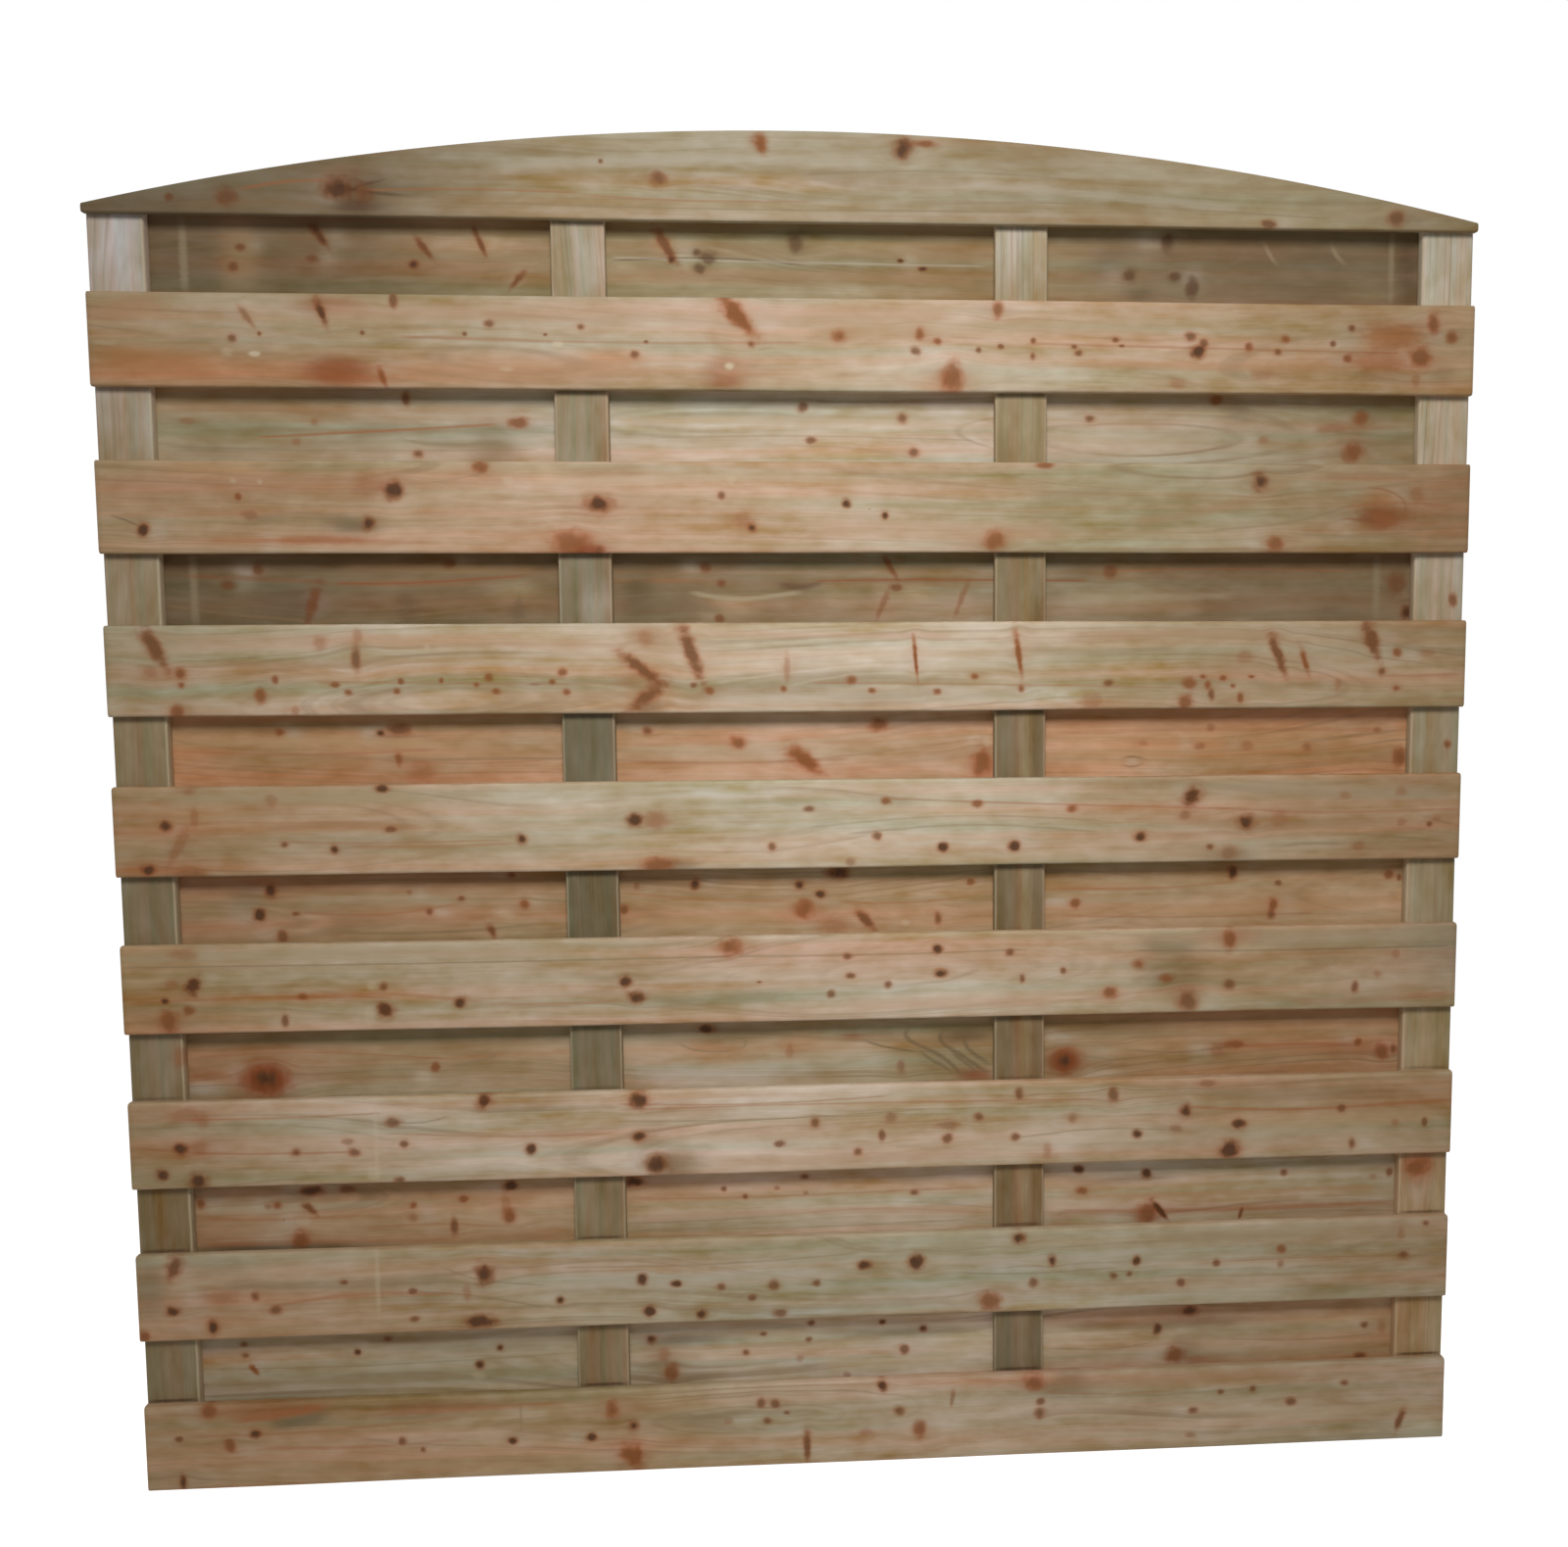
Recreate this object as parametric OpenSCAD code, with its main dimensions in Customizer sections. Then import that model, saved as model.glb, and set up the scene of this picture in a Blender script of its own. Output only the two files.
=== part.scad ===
// Arched hit-and-miss garden screen: boards run across both faces of four uprights,
// each back board covering the gap between two front boards, under an arched top board.
// Millimetres. X runs along the screen from its left end, the front faces -Y and Z is up.

/* [Panel] */
// Overall width, which is the cut length of every board
panel_w = 1800; // [900:10:2400]

/* [Boards] */
// Height of a straight board
board_h = 120; // [100:1:150]
// Thickness of every board
board_t = 16; // [12:0.5:25]
// Clear gap between two boards on the same face of the screen
board_gap = 90; // [60:1:98]
// Radius of the eased long edges of a straight board
board_edge_r = 4; // [1:0.5:5.5]

/* [Arched board] */
// Height of the arched board at its square-cut ends
arch_end_h = 12; // [8:0.5:40]
// Rise of its curved top edge from the ends to the middle
arch_rise = 103; // [40:1:160]
// Clear gap under the arched board
arch_gap = 95; // [60:1:98]
// Radius of the eased edges of the arched board
arch_edge_r = 3; // [1:0.5:3.5]

/* [Uprights] */
// Width of an upright
upright_w = 70; // [45:1:100]
// Thickness of an upright, from the front boards to the back boards
upright_t = 20; // [18:1:50]
// Radius of the eased long edges of an upright
upright_edge_r = 3; // [1:0.5:6]
// How far the square-cut top of an upright stays under the curved edge
upright_top_clear = 3; // [2:0.5:6]

/* [Hidden] */
// Boards on each face, below the arched board
BOARDS = 8;
UPRIGHTS = ["upright_left", "upright_mid_left", "upright_mid_right", "upright_right"];

board_pitch = board_h + board_gap;
upright_pitch = (panel_w - upright_w) / (len(UPRIGHTS) - 1);
front_y = -upright_t / 2 - board_t;
back_y = upright_t / 2;

// The arched board starts above the gap over the top front board
arch_z = BOARDS * board_pitch - board_gap + arch_gap;
arch_mid_h = arch_end_h + arch_rise;
arch_r = (pow(panel_w / 2, 2) + pow(arch_rise, 2)) / (2 * arch_rise);
// Facets that show the long curve as smooth
ARCH_FN = 720;
EDGE_FN = 32;

// Height of the curved edge above the arched board's straight edge, at x
function arch_h_at(x) =
    arch_mid_h - arch_r + sqrt(pow(arch_r, 2) - pow(x - panel_w / 2, 2));

// Left edge of upright i
function upright_x(i) = i * upright_pitch;

// The curve is lowest over the side of an upright that is nearer the panel's end
function outer_x(i) =
    let (left = upright_x(i), right = left + upright_w)
    left + right < panel_w ? left : right;

// Clear gap above front board number row, counted from the ground
function gap_above(row) = row < BOARDS ? board_gap : arch_gap;

// Rectangle with rounded corners, its lowest corner at the origin
module eased_rectangle(w, h, r) {
    translate([r, 0]) square([w - 2 * r, h]);
    translate([0, r]) square([w, h - 2 * r]);
    for (x = [r, w - r], y = [r, h - r])
        translate([x, y]) circle(r = r, $fn = EDGE_FN);
}

// A length of board along X, its section standing on z with its front at y
module board_length(y, z, h, r) {
    translate([0, y, z])
        rotate([90, 0, 90])
            linear_extrude(height = panel_w)
                eased_rectangle(board_t, h, r);
}

// Upright: planed square-edged batten with its long edges eased
module upright(i) {
    top = arch_z + arch_h_at(outer_x(i)) - upright_top_clear;
    color("#8f8468")
        translate([upright_x(i), -upright_t / 2, 0])
            linear_extrude(height = top)
                eased_rectangle(upright_w, upright_t, upright_edge_r);
}

// Front boards stand from the ground up, with equal gaps
module front_board(row) {
    color("#a98a66")
        board_length(front_y, (row - 1) * board_pitch, board_h, board_edge_r);
}

// A back board is centred on the gap above the front board of the same number
module back_board(row) {
    gap_z = (row - 1) * board_pitch + board_h;
    color("#8c7857")
        board_length(back_y, gap_z + (gap_above(row) - board_h) / 2, board_h, board_edge_r);
}

// Disc whose rim is the curved top edge, eased on both sides
module arch_disc() {
    translate([panel_w / 2, front_y + board_t, arch_z + arch_mid_h - arch_r])
        rotate([90, 0, 0])
            rotate_extrude($fn = ARCH_FN)
                difference() {
                    square([arch_r, board_t]);
                    for (y = [0, board_t])
                        rim_waste(y);
                }
}

// What easing takes off the rim's corner on the side of the disc at y
module rim_waste(y) {
    inward = y == 0 ? 1 : -1;
    difference() {
        translate([arch_r - arch_edge_r, min(y, y + inward * arch_edge_r)])
            square(arch_edge_r);
        translate([arch_r - arch_edge_r, y + inward * arch_edge_r])
            circle(r = arch_edge_r, $fn = EDGE_FN);
    }
}

// Arched board: a board blank with a straight lower edge, cut to the curve above
module arched_board() {
    blank_h = arch_mid_h + 2 * arch_edge_r;
    color("#857a5c")
        intersection() {
            board_length(front_y, arch_z, blank_h, arch_edge_r);
            arch_disc();
        }
}

for (i = [0 : len(UPRIGHTS) - 1])
    upright(i);
for (row = [1 : BOARDS]) {
    front_board(row);
    back_board(row);
}
arched_board();
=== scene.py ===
import math

import bpy
import numpy as np
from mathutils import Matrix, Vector


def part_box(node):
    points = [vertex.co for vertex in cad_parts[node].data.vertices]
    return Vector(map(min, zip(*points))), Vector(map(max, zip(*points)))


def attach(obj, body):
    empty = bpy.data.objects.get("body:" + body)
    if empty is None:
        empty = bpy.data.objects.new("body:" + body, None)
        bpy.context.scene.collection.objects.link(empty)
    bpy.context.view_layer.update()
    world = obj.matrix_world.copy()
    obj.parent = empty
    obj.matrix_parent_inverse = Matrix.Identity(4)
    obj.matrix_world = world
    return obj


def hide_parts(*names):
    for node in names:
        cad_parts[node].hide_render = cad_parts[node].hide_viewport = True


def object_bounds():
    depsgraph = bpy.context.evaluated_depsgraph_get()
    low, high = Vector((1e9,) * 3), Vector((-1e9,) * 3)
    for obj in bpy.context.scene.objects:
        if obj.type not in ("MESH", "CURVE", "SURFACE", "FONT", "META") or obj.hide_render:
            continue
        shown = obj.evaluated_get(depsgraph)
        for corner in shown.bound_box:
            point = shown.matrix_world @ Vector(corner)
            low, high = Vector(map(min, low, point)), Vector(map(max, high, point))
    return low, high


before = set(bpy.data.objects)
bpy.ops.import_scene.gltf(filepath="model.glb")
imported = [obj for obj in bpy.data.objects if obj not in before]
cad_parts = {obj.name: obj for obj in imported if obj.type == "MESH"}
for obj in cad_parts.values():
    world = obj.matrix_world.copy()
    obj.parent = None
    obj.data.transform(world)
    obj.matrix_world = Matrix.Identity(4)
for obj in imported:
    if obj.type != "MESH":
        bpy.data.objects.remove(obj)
cad_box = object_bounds()

MM = 0.001
BOARDS = 8
UPRIGHTS = ["upright_left", "upright_mid_left", "upright_mid_right", "upright_right"]
FRONT_FACE = -0.026

# The eye's place, which also says where a mark on a back board is, seen through a gap
EYE = Vector((0.890, -2.375, 1.218))
FOCAL_PIXELS = 1800
PHOTO_WIDTH = 1600

# Tones of the treated timber, as sRGB numbers from 0 to 255
TONES = {
    "ivory": (214, 195, 162),
    "bone": (214, 198, 168),
    "silver": (204, 192, 176),
    "chalk": (222, 213, 198),
    "cream": (200, 179, 150),
    "blush": (194, 169, 140),
    "pink": (200, 162, 134),
    "fawn": (186, 158, 125),
    "sage": (182, 162, 129),
    "khaki": (177, 161, 132),
    "sand": (181, 151, 114),
    "honey": (190, 156, 115),
    "peach": (189, 154, 120),
    "amber": (186, 141, 101),
    "tan": (171, 134, 97),
    "olive": (168, 149, 112),
    "bronze": (160, 138, 101),
    "stone": (158, 142, 114),
    "lichen": (146, 127, 95),
    "umber": (140, 114, 81),
    "moss": (114, 102, 76),
    "peat": (118, 98, 68),
    "drab": (131, 109, 79),
    "pewter": (153, 134, 99),
    "coffee": (108, 90, 63),
    "pearl": (199, 184, 161),
    "oat": (172, 155, 127),
    "mist": (190, 178, 155),
    "slate": (130, 114, 87),
    "apricot": (201, 150, 108),
    "orange": (188, 126, 78),
    "rust": (168, 106, 66),
    "russet": (146, 82, 48),
    "bark": (84, 56, 40),
}

# A stick's tones, evenly spaced from a board's left end or an upright's foot
GROUND = {
    "front_board_8": ("sand", "blush", "cream", "honey"),
    "front_board_7": ("sand", "fawn", "blush", "sage", "tan"),
    "front_board_6": ("sage", "cream", "cream", "cream", "sage", "sand"),
    "front_board_5": ("sand", "fawn", "cream", "cream", "fawn", "sand"),
    "front_board_4": ("honey", "blush", "blush", "cream", "sand", "fawn"),
    "front_board_3": ("sand", "cream", "cream", "cream", "fawn", "sand"),
    "front_board_2": ("sand", "sage", "sage", "sage", "fawn"),
    "front_board_1": ("sand", "sand", "sand", "blush", "fawn", "blush"),
    "back_board_8": ("drab", "drab", "bronze", "pewter", "pewter", "drab", "drab"),
    "back_board_7": ("olive", "khaki", "pearl", "pearl", "khaki", "olive"),
    "back_board_6": ("coffee", "drab", "drab", "stone", "drab", "drab"),
    "back_board_5": ("apricot", "amber", "peach", "peach", "apricot", "apricot"),
    "back_board_4": ("tan", "tan", "sand", "sand", "honey"),
    "back_board_3": ("tan", "bronze", "fawn", "olive", "amber", "amber"),
    "back_board_2": ("tan", "sand", "cream", "cream", "blush"),
    "back_board_1": ("blush", "cream", "cream", "bone", "fawn", "honey"),
    "arched_board": ("slate", "slate", "khaki", "khaki", "oat", "olive", "bronze"),
    "upright_left": ("lichen", "lichen", "lichen", "pewter", "oat", "silver"),
    "upright_mid_left": ("umber", "lichen", "moss", "moss", "stone", "khaki"),
    "upright_mid_right": ("moss", "umber", "drab", "drab", "bronze", "pearl"),
    "upright_right": ("sand", "honey", "olive", "khaki", "cream", "bone"),
}

# How a knot or mark shows: how far it covers the wood, then its darkness, redness and paleness
DARK = (0.95, 0.9, 0.3, 0.0)
BROWN = (0.78, 0.38, 0.32, 0.0)
RED = (0.82, 0.3, 0.8, 0.0)
STAIN = (0.36, 0.0, 0.8, 0.0)
FAINT = (0.45, 0.2, 0.4, 0.0)
PALE = (0.25, 0.0, 0.0, 1.0)
WHITE = (0.8, 0.0, 0.0, 1.0)
DUSK = (0.7, 0.8, 0.0, 0.0)

# Knots read off the photograph, in millimetres. A round knot is (x, z, half length, half height, look).
# A spike knot, cut lengthwise, is (x, z, x, z, half width, look), from its thick end to its thin end.
# On a front board z is above the board's lower edge.
KNOTS = {
    "front_board_8": [
        (178, 62, 6, 5, BROWN), (190, 100, 205, 78, 3, FAINT), (212, 68, 3, 3, BROWN), (285, 110, 295, 80, 4, DARK),
        (380, 112, 5, 10, BROWN), (360, 25, 367, 5, 3, RED), (340, 70, 3, 3, BROWN), (468, 70, 3, 3, BROWN),
        (500, 83, 6, 5, BROWN), (570, 70, 3, 2, BROWN), (20, 55, 14, 3, PALE), (172, 45, 8, 5, PALE),
        (205, 43, 6, 3, WHITE), (585, 58, 6, 3, WHITE), (520, 26, 8, 3, PALE), (805, 32, 6, 4, WHITE),
        (615, 80, 5, 4, BROWN), (684, 46, 6, 5, BROWN), (698, 62, 3, 2, BROWN), (798, 116, 834, 76, 8, RED),
        (833, 60, 5, 5, BROWN), (800, 12, 16, 7, STAIN), (947, 72, 9, 8, RED), (1053, 76, 6, 8, RED),
        (1048, 53, 7, 6, BROWN), (1077, 66, 5, 4, RED), (1130, 55, 4, 4, BROWN), (1160, 60, 4, 3, BROWN),
        (1155, 108, 7, 11, RED), (1095, 20, 13, 20, RED), (1202, 68, 4, 4, BROWN), (1202, 48, 4, 5, BROWN),
        (1257, 60, 4, 3, BROWN), (1263, 52, 5, 4, BROWN), (1312, 70, 5, 4, BROWN), (1320, 62, 4, 2, BROWN),
        (1413, 75, 8, 6, BROWN), (1430, 67, 6, 5, BROWN), (1422, 55, 9, 9, DARK), (1491, 62, 5, 6, RED),
        (1540, 73, 6, 5, RED), (1530, 56, 5, 4, BROWN), (1605, 67, 4, 4, BROWN), (1630, 88, 4, 4, BROWN),
        (1625, 48, 6, 5, RED), (1510, 25, 14, 7, STAIN), (1395, 13, 10, 6, STAIN), (1742, 95, 8, 13, RED),
        (1725, 50, 13, 13, RED), (1767, 77, 7, 8, RED), (1720, 20, 5, 8, STAIN),
        (1688, 79, 40, 13, STAIN), (306, 21, 37, 15, STAIN), (1672, 44, 30, 17, STAIN),
    ],
    "front_board_7": [
        (57, 30, 8, 9, DARK), (177, 72, 4, 5, RED), (172, 93, 4, 3, PALE), (205, 92, 3, 3, PALE),
        (518, 95, 6, 5, PALE), (805, 95, 6, 5, PALE), (372, 82, 12, 12, DARK), (340, 39, 8, 9, DARK),
        (340, 87, 20, 14, STAIN), (483, 112, 10, 8, RED), (275, 17, 50, 5, STAIN), (598, 16, 24, 14, RED),
        (632, 5, 6, 5, BROWN), (634, 64, 17, 10, DARK), (792, 75, 5, 5, BROWN), (831, 33, 6, 6, DARK),
        (820, 44, 12, 9, STAIN), (955, 65, 6, 6, DARK), (1006, 50, 5, 5, DARK), (1152, 17, 14, 13, RED),
        (1220, 116, 12, 4, RED), (1510, 95, 11, 12, DARK), (1530, 12, 12, 10, RED), (1725, 78, 10, 10, STAIN),
        (190, 50, 10, 6, FAINT), (1688, 50, 40, 13, STAIN), (1676, 47, 24, 12, STAIN),
    ],
    "front_board_6": [
        (50, 116, 77, 64, 7, BROWN), (58, 58, 9, 8, STAIN), (95, 56, 7, 7, RED), (95, 42, 4, 4, RED),
        (87, 8, 8, 8, RED), (195, 27, 7, 10, RED), (214, 48, 4, 6, RED), (317, 75, 6, 16, BROWN),
        (320, 106, 6, 8, STAIN), (272, 95, 8, 10, STAIN), (289, 41, 6, 4, RED), (306, 31, 5, 4, RED),
        (368, 32, 5, 4, RED), (373, 45, 4, 4, RED), (425, 46, 3, 4, RED), (470, 40, 4, 3, RED),
        (486, 49, 5, 5, RED), (495, 31, 5, 4, RED), (568, 43, 4, 3, RED), (581, 55, 6, 5, RED),
        (586, 30, 5, 4, RED), (545, 40, 8, 2, FAINT), (238, 8, 4, 7, STAIN), (408, 90, 3, 3, PALE),
        (690, 100, 10, 10, STAIN), (660, 78, 708, 42, 6, BROWN), (712, 38, 670, 8, 7, BROWN),
        (738, 112, 762, 45, 7, BROWN), (752, 37, 5, 4, BROWN), (773, 30, 6, 5, RED), (870, 32, 4, 4, RED),
        (875, 60, 4, 18, STAIN), (960, 43, 6, 5, RED), (987, 29, 5, 4, RED), (1044, 95, 1048, 48, 2, RED),
        (1075, 27, 5, 4, RED), (1125, 47, 5, 4, RED), (1180, 105, 1188, 50, 3, RED), (1188, 30, 4, 5, RED),
        (1306, 37, 7, 4, BROWN), (1283, 12, 14, 11, STAIN), (1417, 35, 9, 8, RED), (1412, 10, 10, 9, RED),
        (1435, 45, 4, 3, RED), (1442, 33, 4, 6, RED), (1447, 20, 4, 8, BROWN), (1463, 42, 5, 4, RED),
        (1476, 32, 4, 3, RED), (1487, 15, 4, 7, RED), (1493, 70, 12, 8, STAIN), (1528, 100, 1548, 48, 5, BROWN),
        (1570, 80, 1580, 50, 3, RED), (1660, 116, 1675, 70, 7, BROWN), (1703, 76, 6, 6, RED),
        (1683, 50, 6, 6, BROWN), (1703, 27, 6, 4, RED), (1622, 33, 4, 8, STAIN), (1502, 44, 4, 2, RED),
        (1745, 75, 10, 5, STAIN),
    ],
    "front_board_5": [
        (67, 68, 8, 8, DARK), (42, 11, 9, 7, DARK), (92, 60, 70, 20, 5, STAIN), (104, 80, 5, 12, STAIN),
        (98, 114, 7, 5, STAIN), (202, 100, 7, 8, STAIN), (95, 6, 20, 5, FAINT), (217, 42, 5, 4, BROWN),
        (281, 35, 6, 6, DARK), (353, 60, 8, 4, BROWN), (343, 114, 9, 5, DARK), (523, 45, 7, 7, DARK),
        (671, 69, 10, 9, DARK), (700, 68, 14, 11, STAIN), (700, 9, 20, 9, RED), (852, 30, 6, 6, BROWN),
        (902, 81, 7, 4, BROWN), (993, 43, 6, 6, BROWN), (957, 8, 6, 5, FAINT), (1005, 90, 7, 5, RED),
        (1128, 85, 7, 5, RED), (1081, 27, 8, 7, DARK), (1179, 28, 8, 8, DARK), (1258, 77, 7, 5, RED),
        (1352, 37, 8, 7, DARK), (1429, 100, 1414, 80, 8, DARK), (1412, 66, 8, 6, FAINT), (1498, 55, 12, 11, DARK),
        (1448, 22, 5, 4, BROWN), (1475, 13, 11, 9, FAINT), (1545, 60, 12, 10, STAIN), (1655, 20, 8, 6, STAIN),
        (1635, 90, 7, 6, STAIN), (1714, 95, 7, 6, STAIN), (1715, 53, 6, 5, STAIN), (1755, 49, 4, 4, BROWN),
        (1765, 57, 6, 5, STAIN),
    ],
    "front_board_4": [
        (86, 57, 97, 76, 7, DARK), (55, 47, 5, 4, DARK), (85, 33, 7, 6, RED), (60, 18, 12, 15, RED),
        (82, 108, 16, 7, STAIN), (65, 68, 8, 7, STAIN), (232, 48, 7, 4, RED), (208, 17, 5, 8, BROWN),
        (337, 60, 5, 5, BROWN), (343, 22, 334, 35, 8, DARK), (322, 62, 6, 5, PALE), (318, 18, 6, 14, PALE),
        (436, 37, 8, 7, DARK), (505, 15, 10, 7, PALE), (654, 61, 8, 8, DARK), (669, 38, 12, 9, DARK),
        (795, 105, 15, 12, RED), (952, 89, 6, 5, BROWN), (956, 62, 6, 4, BROWN), (930, 37, 6, 6, BROWN),
        (1007, 49, 6, 5, BROWN), (1074, 97, 7, 7, DARK), (1079, 63, 8, 6, DARK), (1173, 90, 6, 5, BROWN),
        (1190, 53, 4, 6, BROWN), (833, 56, 4, 2, BROWN), (1247, 63, 5, 5, BROWN), (1312, 31, 10, 9, RED),
        (1352, 71, 8, 7, RED), (1390, 50, 9, 6, RED), (1420, 17, 13, 15, BROWN), (1478, 103, 8, 15, RED),
        (1477, 40, 8, 7, BROWN), (1655, 33, 5, 8, BROWN), (1713, 78, 5, 6, STAIN), (1687, 50, 5, 5, STAIN),
    ],
    "front_board_3": [
        (67, 56, 9, 8, DARK), (40, 21, 8, 8, DARK), (87, 12, 13, 11, DARK), (90, 57, 11, 11, STAIN),
        (75, 102, 20, 11, STAIN), (95, 92, 8, 8, STAIN), (215, 47, 7, 5, BROWN), (290, 45, 8, 6, BROWN),
        (283, 60, 8, 4, FAINT), (343, 85, 12, 7, BROWN), (357, 55, 6, 5, BROWN), (349, 5, 7, 5, BROWN),
        (320, 58, 3, 56, PALE), (315, 14, 8, 11, PALE), (470, 117, 458, 105, 7, DARK), (523, 43, 8, 8, DARK),
        (669, 107, 13, 12, DARK), (667, 56, 9, 7, DARK), (692, 17, 15, 14, DARK), (858, 41, 8, 5, BROWN),
        (906, 70, 6, 7, BROWN), (965, 27, 6, 6, BROWN), (997, 50, 5, 8, BROWN), (1009, 73, 8, 7, FAINT),
        (1087, 42, 7, 7, BROWN), (1087, 60, 15, 6, FAINT), (1131, 71, 7, 6, BROWN), (1181, 41, 6, 6, BROWN),
        (1186, 103, 6, 8, BROWN), (1226, 20, 6, 11, STAIN), (1260, 65, 7, 7, FAINT), (1318, 97, 7, 11, BROWN),
        (1351, 41, 7, 7, DARK), (1419, 72, 9, 10, DARK), (1407, 47, 9, 5, FAINT), (1495, 51, 10, 8, DARK),
        (1481, 15, 14, 13, DARK), (1640, 70, 6, 6, BROWN), (1656, 20, 5, 8, BROWN), (1717, 47, 5, 5, STAIN),
        (1760, 47, 4, 6, BROWN), (1450, 110, 12, 5, FAINT),
    ],
    "front_board_2": [
        (55, 114, 45, 92, 8, BROWN), (45, 43, 9, 7, DARK), (7, 9, 7, 8, RED), (97, 18, 8, 11, DARK),
        (110, 60, 20, 9, STAIN), (153, 60, 6, 6, BROWN), (180, 40, 8, 6, BROWN), (271, 75, 6, 4, BROWN),
        (361, 60, 6, 4, BROWN), (362, 21, 6, 4, BROWN), (315, 74, 3, 44, PALE), (457, 80, 11, 16, DARK),
        (450, 14, 22, 10, DARK), (433, 55, 5, 11, STAIN), (557, 40, 6, 6, DARK), (669, 66, 8, 8, DARK),
        (677, 20, 9, 8, DARK), (715, 58, 7, 5, DARK), (776, 51, 6, 5, BROWN), (748, 13, 8, 7, DARK),
        (818, 34, 6, 5, BROWN), (848, 51, 8, 7, BROWN), (856, 11, 9, 6, BROWN), (906, 52, 6, 5, BROWN),
        (972, 75, 10, 7, DARK), (1044, 78, 11, 12, DARK), (1146, 18, 15, 14, RED), (1186, 107, 9, 9, DARK),
        (1207, 43, 7, 7, BROWN), (1233, 73, 6, 8, DARK), (1320, 48, 6, 5, BROWN), (1352, 69, 6, 7, DARK),
        (1342, 50, 4, 4, BROWN), (1415, 36, 6, 6, BROWN), (1465, 62, 5, 5, BROWN), (1558, 78, 7, 6, RED),
        (1557, 57, 5, 6, FAINT), (1735, 65, 7, 5, BROWN), (1765, 110, 5, 4, BROWN), (1730, 95, 5, 8, STAIN),
    ],
    "front_board_1": [
        (85, 111, 10, 10, RED), (45, 73, 5, 4, BROWN), (112, 62, 7, 9, RED), (145, 77, 8, 6, DARK),
        (48, 11, 5, 11, DARK), (340, 58, 5, 5, BROWN), (367, 45, 4, 4, BROWN), (488, 52, 6, 5, DARK),
        (595, 53, 7, 6, DARK), (624, 92, 8, 13, RED), (653, 67, 7, 7, DARK), (644, 34, 656, 12, 11, RED),
        (828, 93, 6, 7, BROWN), (847, 90, 6, 6, BROWN), (836, 66, 6, 5, BROWN), (863, 77, 5, 3, BROWN),
        (782, 68, 6, 4, STAIN), (891, 48, 891, 8, 4, BROWN), (975, 43, 10, 6, STAIN), (996, 111, 7, 8, DARK),
        (1019, 73, 7, 6, BROWN), (1048, 45, 8, 13, RED), (1095, 98, 1092, 77, 2, FAINT), (1208, 108, 14, 11, RED),
        (1218, 79, 6, 6, BROWN), (1217, 62, 8, 8, BROWN), (1435, 57, 7, 5, BROWN), (1474, 82, 5, 4, BROWN),
        (1521, 85, 5, 5, BROWN), (1576, 64, 7, 6, BROWN), (1654, 88, 6, 4, BROWN), (1740, 45, 1730, 15, 4, BROWN),
        (1432, 20, 8, 4, FAINT),
    ],
    "arched_board": [
        (178, 21, 13, 11, BROWN), (108, 20, 5, 4, BROWN), (318, 33, 20, 14, DARK), (347, 29, 12, 12, BROWN),
        (645, 73, 3, 3, BROWN), (718, 52, 9, 9, BROWN), (845, 106, 853, 90, 6, RED), (1032, 93, 12, 13, DARK),
        (1060, 101, 16, 5, RED), (1515, 6, 10, 5, BROWN), (1687, 15, 12, 11, BROWN),
    ],
}

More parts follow.
